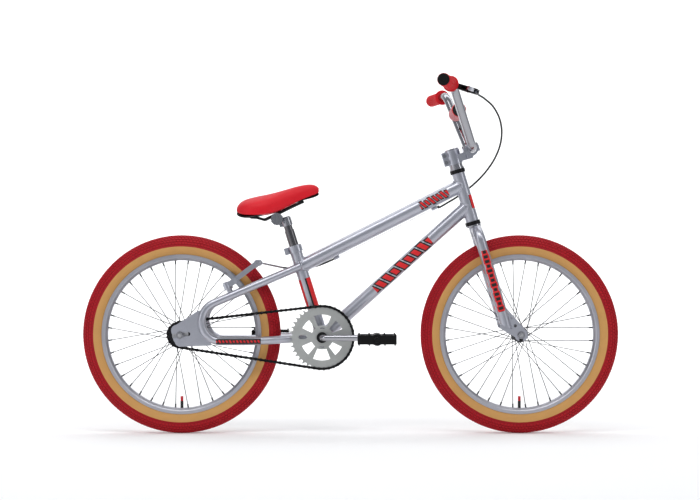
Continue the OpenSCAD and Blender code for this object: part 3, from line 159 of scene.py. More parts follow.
bar_clamp = steer(49, 0, 495)
sweep_back = radians(11.3)
grip_dir = Vector((-sin(sweep_back), cos(sweep_back), 0))
bar_half, grip_len = 330, 122
foot_y, high_y, bar_back, bar_rise = 75, 165, 55, 153
bar_foot = bar_clamp + ACROSS * foot_y
bar_high = bar_clamp + Vector((-bar_back, high_y, bar_rise))


def on_grip(y):
    """Point on the handlebar's axis at a place across the bike."""
    return bar_high + grip_dir * ((y - high_y) / cos(sweep_back))


bar_end = on_grip(bar_half - 2)
grip_start = on_grip(bar_half - grip_len)
cross_share = 98 / bar_rise
cross_mid = bar_clamp + Vector((-bar_back * cross_share, 0, bar_rise * cross_share))
cross_half = foot_y + (high_y - foot_y) * cross_share
bar_points = rounded(flipped([bar_end, bar_high, bar_foot]) + [bar_foot, bar_high, bar_end], 40, 10)

lever_at = on_grip(bar_half - grip_len - 11)
lever_mid = Vector((lever_at.x, -lever_at.y, lever_at.z))
lever_out = Vector((grip_dir.x, -grip_dir.y, 0))
lever_ahead = Vector((cos(radians(17)), 0, -sin(radians(17))))
lever_fore = (lever_ahead - lever_ahead.dot(lever_out) * lever_out).normalized()
adjuster_at = lever_mid + lever_fore * 61 - lever_out * 34
tilt_at = seat(0, 0, 320) - Vector((22, 0, 0))


# ---------------------------------------------------------------- sizes and colours
class BikeSizes(bpy.types.PropertyGroup):
    """Sizes of the made pieces."""

    tread_depth: bpy.props.FloatProperty(
        name="Tread depth", description="Height of the tread blocks", default=0.0022, min=0.001, max=0.004,
        subtype="DISTANCE", unit="LENGTH")
    tread_blocks: bpy.props.IntProperty(
        name="Tread blocks", description="Blocks in one row round the tyre", default=176, min=90, max=240)
    tread_edge: bpy.props.FloatProperty(
        name="Tread edge", description="Radius where the tread colour ends", default=0.2275,
        min=0.21, max=0.25, subtype="DISTANCE", unit="LENGTH")
    weld_bead: bpy.props.FloatProperty(
        name="Weld bead", description="Half the thickness of a weld", default=0.0021, min=0.001, max=0.004,
        subtype="DISTANCE", unit="LENGTH")
    grip_rib: bpy.props.FloatProperty(
        name="Grip rib", description="Height of the ribs on a grip", default=0.0009, min=0.0002, max=0.002,
        subtype="DISTANCE", unit="LENGTH")
    pad_length: bpy.props.FloatProperty(
        name="Pad length", description="Length of the pad on the crossbar", default=0.165, min=0.1, max=0.2,
        subtype="DISTANCE", unit="LENGTH")
    cover_wrinkle: bpy.props.FloatProperty(
        name="Cover wrinkle", description="Depth of the folds in the pad's cover", default=0.0009,
        min=0, max=0.003, subtype="DISTANCE", unit="LENGTH")


def colour(name, description, value):
    return bpy.props.FloatVectorProperty(
        name=name, description=description, default=value, size=3, min=0, max=1, subtype="COLOR")


class BikeColours(bpy.types.PropertyGroup):
    """Colours of the finishes."""

    lacquer: colour("Frame lacquer", "Silver lacquer of the frame and fork", (0.40, 0.41, 0.47))
    mark_red: colour("Frame marks", "Red of the marks on the frame", (0.70, 0.006, 0.010))
    tread: colour("Tread", "Red rubber of the tread", (0.50, 0.008, 0.018))
    sidewall: colour("Sidewall", "Tan rubber of the sidewall", (0.60, 0.315, 0.10))
    saddle: colour("Saddle", "Vinyl of the saddle", (0.70, 0.004, 0.015))
    grip: colour("Grips", "Rubber of the grips", (0.64, 0.006, 0.014))
    pad: colour("Bar pad", "Cover of the crossbar pad", (0.56, 0.10, 0.12))
    rim: colour("Rims", "Anodised silver of the rims", (0.50, 0.50, 0.55))
    ring: colour("Chainring", "Blasted alloy of the chainring", (0.44, 0.45, 0.44))
    black: colour("Black parts", "Hubs, pedals, chain and housings", (0.009, 0.009, 0.010))


# ---------------------------------------------------------------- shader maths
class Wire:
    """A socket that ordinary operators work on."""

    def __init__(self, finish, socket):
        self.finish = finish
        self.socket = socket

    def maths(self, operation, *others):
        return self.finish.node("ShaderNodeMath", {"operation": operation}, *others)

    def __add__(self, other):
        return self.maths("ADD", self, other)

    def __radd__(self, other):
        return self.maths("ADD", other, self)

    def __sub__(self, other):
        return self.maths("SUBTRACT", self, other)

    def __rsub__(self, other):
        return self.maths("SUBTRACT", other, self)

    def __mul__(self, other):
        return self.maths("MULTIPLY", self, other)

    def __rmul__(self, other):
        return self.maths("MULTIPLY", other, self)

    def __truediv__(self, other):
        return self.maths("DIVIDE", self, other)

    def __lt__(self, other):
        return self.maths("LESS_THAN", self, other)

    def __gt__(self, other):
        return self.maths("GREATER_THAN", self, other)

    def __abs__(self):
        return self.maths("ABSOLUTE", self)

    def larger(self, other):
        return self.maths("MAXIMUM", self, other)

    def sine(self):
        return self.maths("SINE", self)

    def whole(self):
        return self.maths("FLOOR", self)

    def part(self):
        return self.maths("FRACT", self)

    def between(self, low, high):
        return (self > low) * (self < high)


class Finish:
    """One surface finish, built from nodes."""

    def __init__(self, name, **constants):
        self.material = bpy.data.materials.new(name)
        self.material.use_nodes = True
        self.tree = self.material.node_tree
        self.shader = next(n for n in self.tree.nodes if n.type == "BSDF_PRINCIPLED")
        for key, value in constants.items():
            self.shader.inputs[key.replace("_", " ").title().replace("Ior", "IOR")].default_value = value
        self.place = self.node("ShaderNodeTexCoord", {}, out="Object")

    def node(self, kind, settings, *values, out=0, **named):
        made = self.tree.nodes.new(kind)
        for key, value in settings.items():
            setattr(made, key, value)
        for key, value in list(enumerate(values)) + list(named.items()):
            socket = made.inputs[key]
            if isinstance(value, Wire):
                self.tree.links.new(value.socket, socket)
            else:
                socket.default_value = value
        return Wire(self, made.outputs[out])

    def vector(self, operation, *values, out=0):
        return self.node("ShaderNodeVectorMath", {"operation": operation}, *values, out=out)

    def along(self, origin, direction):
        """Distance from origin along a direction, in metres."""
        moved = self.vector("SUBTRACT", self.place, tuple(Vector(origin) * MM))
        return self.vector("DOT_PRODUCT", moved, tuple(Vector(direction).normalized()), out="Value")

    def from_axis(self, centre):
        """Distance from an axle that runs across the bike, in metres."""
        moved = self.vector("SUBTRACT", self.place, tuple(Vector(centre) * MM))
        flat = self.vector("MULTIPLY", moved, (1, 0, 1))
        return self.vector("LENGTH", flat, out="Value")

    def noise(self, scale, detail=3, roughness=0.55, stretch=None):
        where = self.place if stretch is None else self.vector("MULTIPLY", self.place, stretch)
        return self.node("ShaderNodeTexNoise", {}, out=0, Vector=where, Scale=scale, Detail=detail,
                         Roughness=roughness)

    def blend(self, factor, first, second):
        """Colour between two colours."""
        made = self.tree.nodes.new("ShaderNodeMix")
        made.data_type = "RGBA"
        made.clamp_factor = True
        sockets = [s for s in made.inputs if s.enabled]
        for socket, value in zip(sockets, (factor, first, second)):
            if isinstance(value, Wire):
                self.tree.links.new(value.socket, socket)
            else:
                socket.default_value = value if isinstance(value, (int, float)) else (*tuple(value)[:3], 1)
        return Wire(self, next(s for s in made.outputs if s.enabled))

    def ease(self, value, low, high, to_low=0.0, to_high=1.0):
        return self.node("ShaderNodeMapRange", {"interpolation_type": "SMOOTHSTEP"}, value, low, high, to_low,
                         to_high)

    def feed(self, **wires):
        for key, wire in wires.items():
            socket = self.shader.inputs[key.replace("_", " ").title()]
            self.tree.links.new(wire.socket, socket)
        return self

    def bump(self, height, distance, strength=1.0):
        normal = self.node("ShaderNodeBump", {}, Strength=strength, Distance=distance, Height=height)
        self.tree.links.new(normal.socket, self.shader.inputs["Normal"])
        return self


def shade(value, factor):
    return tuple(min(1, c * factor) for c in tuple(value)[:3])


class Mark:
    """A run of slanted bars with contrasting edges, laid along a tube."""

    def __init__(self, origin, direction, up, start, end, half, pitch, slant=0.45, fill=0.54, ground=False,
                 swapped=False):
        self.ground, self.swapped = ground, swapped
        self.origin, self.direction, self.up = origin, direction, up
        self.start, self.end, self.half = start * MM, end * MM, half * MM
        self.pitch, self.slant, self.fill = pitch * MM, slant, fill

    def masks(self, f):
        s = f.along(self.origin, self.direction)
        t = f.along(self.origin, self.up)
        cell = (s + t * self.slant) / self.pitch
        inside = (s > self.start) * (s < self.end)
        tall = (cell.whole() * 2.39).sine() * 0.16 * self.half + self.half * 0.84
        share = abs(cell.part() - 0.5)
        edge = 3.2 * MM
        red = (share < self.fill / 2) * (abs(t) < tall) * inside
        dark = (share < self.fill / 2 + 0.17) * (abs(t) < tall + edge) * inside
        if self.ground:
            dark = (abs(t) < self.half + edge) * inside
        return (dark - red, red) if self.swapped else (red, dark)


class Stripe:
    """A plain stripe with a black edge beside it, along a tube."""

    def __init__(self, origin, direction, up, start, end, low, high, edge):
        self.origin, self.direction, self.up = origin, direction, up
        self.start, self.end = start * MM, end * MM
        self.low, self.high, self.edge = low * MM, high * MM, edge * MM

    def masks(self, f):
        s = f.along(self.origin, self.direction)
        t = f.along(self.origin, self.up)
        inside = s.between(self.start, self.end)
        return t.between(self.low, self.high) * inside, t.between(self.low - self.edge, self.high) * inside


def lacquer(name, marks=()):
    """Silver lacquer over metal flake, with red marks where a tube has them."""
    colours = bpy.context.scene.bike_colours
    f = Finish(name, coat_roughness=0.06, coat_ior=1.5)
    cloud = f.noise(9, 2)
    flake = f.node("ShaderNodeTexVoronoi", {"feature": "F1"}, out="Color", Vector=f.place, Scale=2600.0)
    glint = f.node("ShaderNodeSeparateColor", {}, flake)
    base = f.blend(cloud, shade(colours.lacquer, 0.88), shade(colours.lacquer, 1.1))
    base = f.blend(glint * 0.22, base, (0.86, 0.86, 0.9))
    metal = 0.9 - cloud * 0.1
    clear = 0.7 - cloud * 0.02
    rough = 0.27 + cloud * 0.1 + glint * 0.05
    for mark in marks:
        red, dark = mark.masks(f)
        base = f.blend(dark, base, shade(colours.black, 0.4))
        base = f.blend(red, base, colours.mark_red)
        printed = 1 - dark.larger(red)
        metal = metal * printed
        clear = clear * printed
        rough = rough * printed + 0.55 * (1 - printed)
    f.feed(base_color=base, metallic=metal, roughness=rough, coat_weight=clear)
    return f.bump(f.noise(420, 2), 0.00004, 0.35).material


def plated(name, tone, low, high, scale=14.0):
    """Plated or polished metal with faint haze and fine wiping marks."""
    f = Finish(name, metallic=1.0)
    haze = f.noise(scale, 4)
    wiped = f.noise(180, 3, 0.6, (1, 1, 6))
    f.feed(base_color=f.blend(haze, shade(tone, 0.86), tone),
           roughness=f.ease(haze * 0.7 + wiped * 0.3, 0.25, 0.75, low, high))
    return f.bump(wiped, 0.00002, 0.25).material


def turned(name, tone, centre, low, high, metal=1.0, rings=2600.0):
    """Metal or anodised metal with fine turning lines round an axle."""
    f = Finish(name, metallic=metal)
    line = (f.from_axis(centre) * rings).sine()
    haze = f.noise(16, 4)
    f.feed(base_color=f.blend(haze * 0.7 + line * 0.08, shade(tone, 0.84), shade(tone, 1.08)),
           roughness=f.ease(haze + line * 0.06, 0.2, 0.8, low, high))
    return f.bump(line * 0.5 + f.noise(900, 2) * 0.5, 0.00003, 0.35).material


def blasted(name, tone, low, high, metal, grain=1500.0, depth=0.00006, specular=0.3):
    """Even matt surface with a fine grain: blasted alloy, moulded plastic, painted steel."""
    f = Finish(name)
    speck = f.noise(grain, 2, 0.7)
    cloud = f.noise(11, 3)
    f.feed(base_color=f.blend(speck * 0.6 + cloud * 0.4, shade(tone, 0.8), shade(tone, 1.22)),
           roughness=f.ease(cloud, 0.2, 0.8, low, high))
    f.shader.inputs["Metallic"].default_value = metal
    f.shader.inputs["Specular IOR Level"].default_value = specular
    return f.bump(speck, depth, 0.5).material


def oiled(name, tone):
    """Dark chain steel with rubbed-bright patches spread at random."""
    f = Finish(name, metallic=0.9)
    wear = f.ease(f.noise(240, 4, 0.7), 0.52, 0.72)
    film = f.noise(60, 3)
    f.feed(base_color=f.blend(wear * 0.5, shade(tone, 1.4), (0.16, 0.155, 0.15)),
           roughness=f.ease(film, 0.3, 0.7, 0.28, 0.5))
    return f.bump(f.noise(700, 3), 0.00005, 0.4).material


def tyre_rubber(name, centre):
    """Red tread over a tan sidewall, which meet along a slightly ragged line."""
    colours, sizes = bpy.context.scene.bike_colours, bpy.context.scene.bike_sizes
    f = Finish(name, specular_ior_level=0.35)
    radius = f.from_axis(centre)
    cloud = f.noise(34, 4)
    speck = f.noise(700, 3, 0.7)
    ragged = radius + (speck - 0.5) * 0.0006
    tread = f.ease(ragged, sizes.tread_edge - 0.0002, sizes.tread_edge + 0.0002)
    # painted shade and dust: the casing's red, seen in the grooves between the tread blocks, is darker than
    # the blocks
    red = f.blend(cloud, shade(colours.tread, 0.62), shade(colours.tread, 0.8))
    pale, deep = shade(colours.sidewall, 1.12), shade(colours.sidewall, 0.86)
    tan_rubber = f.blend(cloud * 0.6 + speck * 0.4, deep, pale)
    # painted shade: the sidewall is darker next to the rim, where it meets the rim's edge
    foot = f.ease(radius, 0.2065, 0.2105, 0.55, 1)
    tan_rubber = f.blend(foot, shade(colours.sidewall, 0.62), tan_rubber)
    ply = (radius * 2 * pi / 0.0011).sine()
    casing = f.ease(f.noise(1100, 2, 0.5), 0.2, 0.8)
    f.feed(base_color=f.blend(tread, tan_rubber, red), roughness=0.62 + cloud * 0.16 + tread * 0.06)
    height = speck * 0.5 + (1 - tread) * (ply * 0.18 + casing * 0.3) + tread * cloud * 0.4
    return f.bump(height, 0.00018, 0.6).material


def tube_rubber(name, centre):
    """Black inner tube and valve stem, with a red cap on the valve."""
    colours = bpy.context.scene.bike_colours
    f = Finish(name, specular_ior_level=0.4)
    cap = f.from_axis(centre) < 0.17355
    cloud = f.noise(50, 3)
    f.feed(base_color=f.blend(cap, f.blend(cloud, shade(colours.black, 0.8), shade(colours.black, 1.6)),
                              shade(colours.tread, 1.1)),
           roughness=0.5 + cloud * 0.2 - cap * 0.15)
    return f.bump((f.from_axis(centre) * 7000).sine() * 0.4 + cloud, 0.00008, 0.5).material


def vinyl(name, tone, grain=760.0):
    """Moulded saddle vinyl with a leather grain, painted shade in the grain's creases, and a soft sheen in
    random patches, which are smoother there and painted lighter.
    """
    f = Finish(name, specular_ior_level=0.3)
    cells = f.node("ShaderNodeTexVoronoi", {"feature": "DISTANCE_TO_EDGE"}, out="Distance", Vector=f.place,
                   Scale=grain)
    crease = f.ease(cells, 0.0, 0.09)
    cloud = f.noise(26, 4)
    # painted sheen: random patches are painted up to 1.14 times lighter, and are also made a little smoother
    rubbed_and_painted_sheen = f.ease(f.noise(9, 2), 0.35, 0.7)
    leather = f.blend(rubbed_and_painted_sheen, tone, shade(tone, 1.14))
    # painted shade: the grain's creases are darkened to 0.72 of the tone
    f.feed(base_color=f.blend(crease * 0.8 + cloud * 0.2, shade(tone, 0.72), leather),
           roughness=0.52 - rubbed_and_painted_sheen * 0.1 - crease * 0.05 + cloud * 0.1)
    return f.bump(crease * 0.7 + f.noise(2400, 2) * 0.3, 0.00016, 0.55).material


def woven(name, tone, edge_tone, middle_y, half):
    """Pad cover: tight plain weave, with bound edges at both ends."""
    f = Finish(name, sheen_weight=0.25, sheen_roughness=0.5, specular_ior_level=0.3)
    across = f.along((0, middle_y, 0), (0, 1, 0))
    around = f.node("ShaderNodeMath", {"operation": "ARCTAN2"}, f.along(cross_mid, (0, 0, 1)),
                    f.along(cross_mid, (1, 0, 0)))
    warp = (across * 2 * pi / 0.0011).sine()
    weft = (around * 110).sine()
    cloth = warp * weft
    cloud = f.noise(70, 4)
    bound = abs(across) > half - 0.0052
    stitch = (abs(abs(across) - (half - 0.0062)) < 0.0005) * ((around * 46).sine() > -0.2)
    body = f.blend(cloth * 0.35 + cloud * 0.65, shade(tone, 0.8), shade(tone, 1.2))
    body = f.blend(bound, body, edge_tone)
    body = f.blend(stitch, body, shade(edge_tone, 1.25))
    f.feed(base_color=body, roughness=0.78 + cloud * 0.12)
    return f.bump(cloth * 0.4 + cloud * 0.5 + stitch * 0.8, 0.0002, 0.6).material


def foam(name, tone):
    """Closed-cell foam, seen at the pad's ends."""
    f = Finish(name, specular_ior_level=0.25)
    cells = f.node("ShaderNodeTexVoronoi", {"feature": "F1"}, out="Distance", Vector=f.place, Scale=900.0)
    # painted shade: each foam cell is coloured darker towards its pit, where the bump is lowest
    f.feed(base_color=f.blend(cells, shade(tone, 0.7), shade(tone, 1.9)), roughness=0.86 + cells * 0.1)
    return f.bump(cells, 0.0003, 0.8).material


def soft_rubber(name, tone):
    """Dull moulded rubber for the grips and the tread blocks, a little worn."""
    f = Finish(name, specular_ior_level=0.28)
    cloud = f.noise(40, 4)
    wear = f.ease(f.noise(15, 2), 0.4, 0.7)
    f.feed(base_color=f.blend(cloud, shade(tone, 0.8), f.blend(wear, tone, shade(tone, 1.12))),
           roughness=0.6 + cloud * 0.12 - wear * 0.08)
    return f.bump(f.noise(1300, 3, 0.7), 0.00012, 0.5).material


def housing(name, tone):
    """Black plastic sleeve over wound wire."""
    f = Finish(name, specular_ior_level=0.5)
    cloud = f.noise(120, 3)
    wound = (f.along((0, 0, 0), (0.5, 0.3, 0.8)) * 2 * pi / 0.0016).sine()
    f.feed(base_color=f.blend(cloud, shade(tone, 0.8), shade(tone, 1.7)), roughness=0.34 + cloud * 0.16)
    return f.bump(wound * 0.3 + cloud * 0.7, 0.00005, 0.35).material


def coat(node, material):
    """Puts a finish on a part that keeps its shape."""
    part = nodes[node]
    if not part.material_slots:
        part.data.materials.append(material)
    for held in part.material_slots:
        held.material = material


# ---------------------------------------------------------------- making pieces
def ready(piece, body, material, replaces=(), sharp=38):
    """Shades a piece, gives it its finish and lets it ride with its body."""
    if not piece.data.materials:
        piece.data.materials.append(material)
    piece.data.shade_smooth()
    piece.data.set_sharp_from_angle(angle=radians(sharp))
    if body:
        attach(piece, body)
    if replaces:
        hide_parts(*replaces)
    return piece


def from_bmesh(name, shape, scale=MM):
    """Object from a shape worked out in millimetres."""
    bmesh.ops.scale(shape, vec=(scale, scale, scale), verts=shape.verts)
    mesh = bpy.data.meshes.new(name)
    shape.to_mesh(mesh)
    shape.free()
    piece = bpy.data.objects.new(name, mesh)
    bpy.context.scene.collection.objects.link(piece)
    return piece


def tube(name, runs, radius, closed=False, fine=8, swell=None):
    """Round tube along each run of points, made a mesh. swell gives a share of the radius at each point."""
    line = bpy.data.curves.new(name, "CURVE")
    line.dimensions = "3D"
    line.bevel_depth = radius * MM
    line.bevel_resolution = fine
    line.use_fill_caps = not closed
    line.twist_mode = "MINIMUM"
    for points in runs:
        spline = line.splines.new("POLY")
        spline.points.add(len(points) - 1)
        for k, (spot, point) in enumerate(zip(spline.points, points)):
            spot.co = (*(Vector(point) * MM), 1)
            spot.radius = 1 if swell is None else swell(k)
        spline.use_cyclic_u = closed
    drawn = bpy.data.objects.new(name + "_line", line)
    bpy.context.scene.collection.objects.link(drawn)
    bpy.context.view_layer.update()
    mesh = bpy.data.meshes.new_from_object(drawn.evaluated_get(bpy.context.evaluated_depsgraph_get()))
    bpy.data.objects.remove(drawn)
    shape = bmesh.new()
    shape.from_mesh(mesh)
    bmesh.ops.remove_doubles(shape, verts=shape.verts, dist=1e-6)
    bmesh.ops.recalc_face_normals(shape, faces=shape.faces)
    shape.to_mesh(mesh)
    shape.free()
    mesh.name = name
    piece = bpy.data.objects.new(name, mesh)
    bpy.context.scene.collection.objects.link(piece)
    return piece


def facing(origin, along):
    """Transform whose Z runs along a direction, from origin."""
    z = Vector(along).normalized()
    x = Vector((0, 0, 1)) - Vector((0, 0, 1)).dot(z) * z
    if x.length < 1e-4:
        x = Vector((1, 0, 0)) - Vector((1, 0, 0)).dot(z) * z
    x.normalize()
    y = z.cross(x)
    turn = Matrix((x, y, z)).transposed().to_4x4()
    return Matrix.Translation(Vector(origin)) @ turn


def lathe(shape, profile, matrix, segments=64):
    """Turns a profile of (radius, height) pairs round Z, then puts it in place."""
    before = set(shape.verts)
    rows = [shape.verts.new((radius, 0, height)) for radius, height in profile]
    edges = [shape.edges.new(pair) for pair in zip(rows, rows[1:])]
    bmesh.ops.spin(shape, geom=rows + edges, cent=(0, 0, 0), axis=(0, 0, 1), angle=2 * pi,
                   steps=segments, use_merge=True)
    bmesh.ops.remove_doubles(shape, verts=[v for v in shape.verts if v not in before], dist=1e-4)
    made = [v for v in shape.verts if v not in before]
    bmesh.ops.recalc_face_normals(shape, faces=list({f for v in made for f in v.link_faces}))
    bmesh.ops.transform(shape, matrix=matrix, verts=made)


def weld_line(start, direction, radius, foot, axis, reach):
    """Points where a tube from start meets a larger tube of radius reach round foot and axis."""
    d, e = Vector(direction).normalized(), Vector(axis).normalized()
    u = ACROSS - ACROSS.dot(d) * d
    if u.length < 0.1:
        u = Vector((0, 0, 1))
    u.normalize()
    v = d.cross(u)
    points = []
    for k in range(0, 360, 2):
        p = Vector(start) + (u * cos(radians(k)) + v * sin(radians(k))) * radius - Vector(foot)
        a, b = d - d.dot(e) * e, p - p.dot(e) * e
        aa, ab, bb = a.dot(a), a.dot(b), b.dot(b) - reach * reach
        root = sqrt(max(0.0, ab * ab - aa * bb))
        points.append(Vector(foot) + p + d * ((-ab + root) / aa))
    return points


def ripple(k):
    """Stacked look of a weld along its length."""
    return 1 + 0.16 * abs(sin(pi * k / 2.5))


class BIKE_OT_frame_tubes(bpy.types.Operator):
    """Lacquers the frame, bends its rear stays and lays the welds"""

    bl_idname = "bike.frame_tubes"
    bl_label = "Frame Tubes"

    def execute(self, context):
        sizes = context.scene.bike_sizes
        plain = lacquer("frame_lacquer")
        for node in ("bottom_bracket_shell", "rear_dropouts", "braze_ons", "fork_dropouts"):
            coat(node, plain)
        top_mark = Mark(top_aft, tube_dir, -tube_down, start=347, end=429, half=9.5, pitch=11.7)
        coat("top_tube", lacquer("top_tube_lacquer", [top_mark]))
        down_up = Vector((-down_dir.z, 0, down_dir.x))
        down_mark = Mark(bracket, down_dir, down_up, start=183, end=377, half=12.0, pitch=24.2)
        coat("down_tube", lacquer("down_tube_lacquer", [down_mark]))
        seat_stripe = Stripe(bracket, seat_up, seat_fore, start=66, end=158, low=5.5, high=20, edge=4.5)
        rear_stripe = Stripe(bracket, seat_up, -seat_fore, start=66, end=158, low=9.5, high=20, edge=0)
        coat("seat_tube", lacquer("seat_tube_lacquer", [rear_stripe, seat_stripe]))
        badge = Stripe(steer(0, 0, 366), steer_up, steer_fore, start=-18, end=18, low=9.5, high=30, edge=2)
        coat("head_tube", lacquer("head_tube_lacquer", [badge]))

        stay_mark = Mark(rear_axle + Vector((0, 0, stay_z - tyre_r)), (1, 0, 0), (0, 0, 1), start=94, end=208,
                         half=3.6, pitch=9.0, ground=True)
        stays = tube("rear_stay_tubes", [stay_points, flipped(stay_points)], stay_r, fine=12)
        ready(stays, "frame", lacquer("stay_lacquer", [stay_mark]), ["rear_stays"])

        bead = sizes.weld_bead / MM
        lines = [
            weld_line(top_aft, tube_dir, top_r, bracket, seat_up, seat_r),
            weld_line(top_fore, -tube_dir, top_r, head_foot, steer_up, head_r),
            weld_line(down_fore, -down_dir, down_r, head_foot, steer_up, head_r),
            weld_line(bracket, down_dir, down_r, bracket, ACROSS, shell_r),
            weld_line(bracket, seat_up, seat_r, bracket, ACROSS, shell_r),
        ]
        for run in (stay_points, flipped(stay_points)):
            lines.append(weld_line(run[0], run[1] - run[0], stay_r, bracket, seat_up, seat_r))
        welds = tube("frame_welds", lines, bead, closed=True, fine=3, swell=ripple)
        ready(welds, "frame", plain)
        return {"FINISHED"}


class BIKE_OT_fork(bpy.types.Operator):
    """Bends the fork legs, slants their feet and welds them to the crown"""

    bl_idname = "bike.fork"
    bl_label = "Fork"

    def execute(self, context):
        marks = [Mark(steer(3, 0, 0), steer_up, steer_fore, start=72, end=236, half=6.5, pitch=12.5,
                      slant=0.0, fill=0.66, swapped=True)]
        legs = tube("fork_leg_tubes", [leg_points, flipped(leg_points)], leg_r, fine=14)
        shape = bmesh.new()
        shape.from_mesh(legs.data)
        slant = steer_up * cos(radians(38)) + steer_fore * sin(radians(38))
        cuts = ((steer(0, 0, 301.4), steer_up), (steer(0, 0, 34), -slant))
        for spot, away in cuts:
            everything = shape.verts[:] + shape.edges[:] + shape.faces[:]
            cut = bmesh.ops.bisect_plane(shape, geom=everything, plane_co=Vector(spot) * MM, plane_no=away,
                                         clear_outer=True)
            rim = [e for e in cut["geom_cut"] if isinstance(e, bmesh.types.BMEdge)]
            bmesh.ops.holes_fill(shape, edges=rim, sides=0)
        bmesh.ops.recalc_face_normals(shape, faces=shape.faces)
        shape.to_mesh(legs.data)
        shape.free()
        ready(legs, "steering", lacquer("fork_lacquer", marks), ["fork_legs"])
        lines = [weld_line(run[0] + (run[0] - run[1]), run[1] - run[0], leg_r, steer_foot, steer_up, 14.3)
                 for run in (leg_points, flipped(leg_points))]
        bead = context.scene.bike_sizes.weld_bead / MM
        welds = tube("fork_welds", lines, bead, closed=True, fine=3, swell=ripple)
        ready(welds, "steering", bpy.data.materials["frame_lacquer"])
        return {"FINISHED"}


class BIKE_OT_metalwork(bpy.types.Operator):
    """Finishes the chrome, alloy, black and steel parts that keep their shape"""

    bl_idname = "bike.metalwork"
    bl_label = "Metalwork"

    def execute(self, context):
        colours = context.scene.bike_colours
        chrome = plated("polished_chrome", (0.42, 0.42, 0.45), 0.1, 0.2)
        steel = plated("bright_steel", (0.58, 0.58, 0.6), 0.22, 0.4)
        # painted reflection: the seatpost's chrome is a darker copy of the polished chrome, standing in for
        # the dark surroundings it reflects
        chrome_painted_dark = plated("post_chrome_painted_dark", (0.17, 0.165, 0.175), 0.1, 0.2)
        alloy = blasted("satin_alloy", (0.50, 0.51, 0.57), 0.24, 0.38, 1.0, 1200.0, 0.00003)
        black_metal = blasted("black_coating", colours.black, 0.3, 0.46, 0.45, 1500.0)
        plastic = blasted("moulded_plastic", shade(colours.black, 0.45), 0.5, 0.64, 0.0, 900.0, 0.00012, 0.16)
        groups = (
            (chrome, ("steerer_tube", "stem_bolts", "headset_races", "barrel_adjuster", "saddle_clamp",
                      "rail_clamps", "bottom_bracket_cups", "front_axle_nuts", "rear_axle_nuts")),
            (chrome_painted_dark, ("seatpost",)),
            (steel, ("front_axle_set", "rear_axle_set", "freewheel_body")),
            (alloy, ("stem_body", "stem_cap", "seat_clamp", "brake_lever_blade", "right_brake_arm",
                     "left_brake_arm")),
            (black_metal, ("brake_lever_bracket", "crank_cones", "headset_cups", "pedal_spindles")),
            (plastic, ("right_pedal", "left_pedal")),
        )
        for material, names in groups:
            for node in names:
                coat(node, material)
        for node, centre in (("front_hub", front_axle), ("rear_hub", rear_axle)):
            coat(node, turned(node + "_anodised", colours.black, centre, 0.24, 0.4, 0.55))
        coat("freewheel_cog", turned("cog_steel", shade(colours.black, 3.5), rear_axle, 0.3, 0.45))
        coat("chainring", blasted("chainring_blasted", colours.ring, 0.4, 0.55, 0.72, 1400.0))
        chain = oiled("oiled_steel", colours.black)
        for node in ("chain_outer_links", "chain_inner_links", "chain_rollers"):
            coat(node, chain)
        return {"FINISHED"}


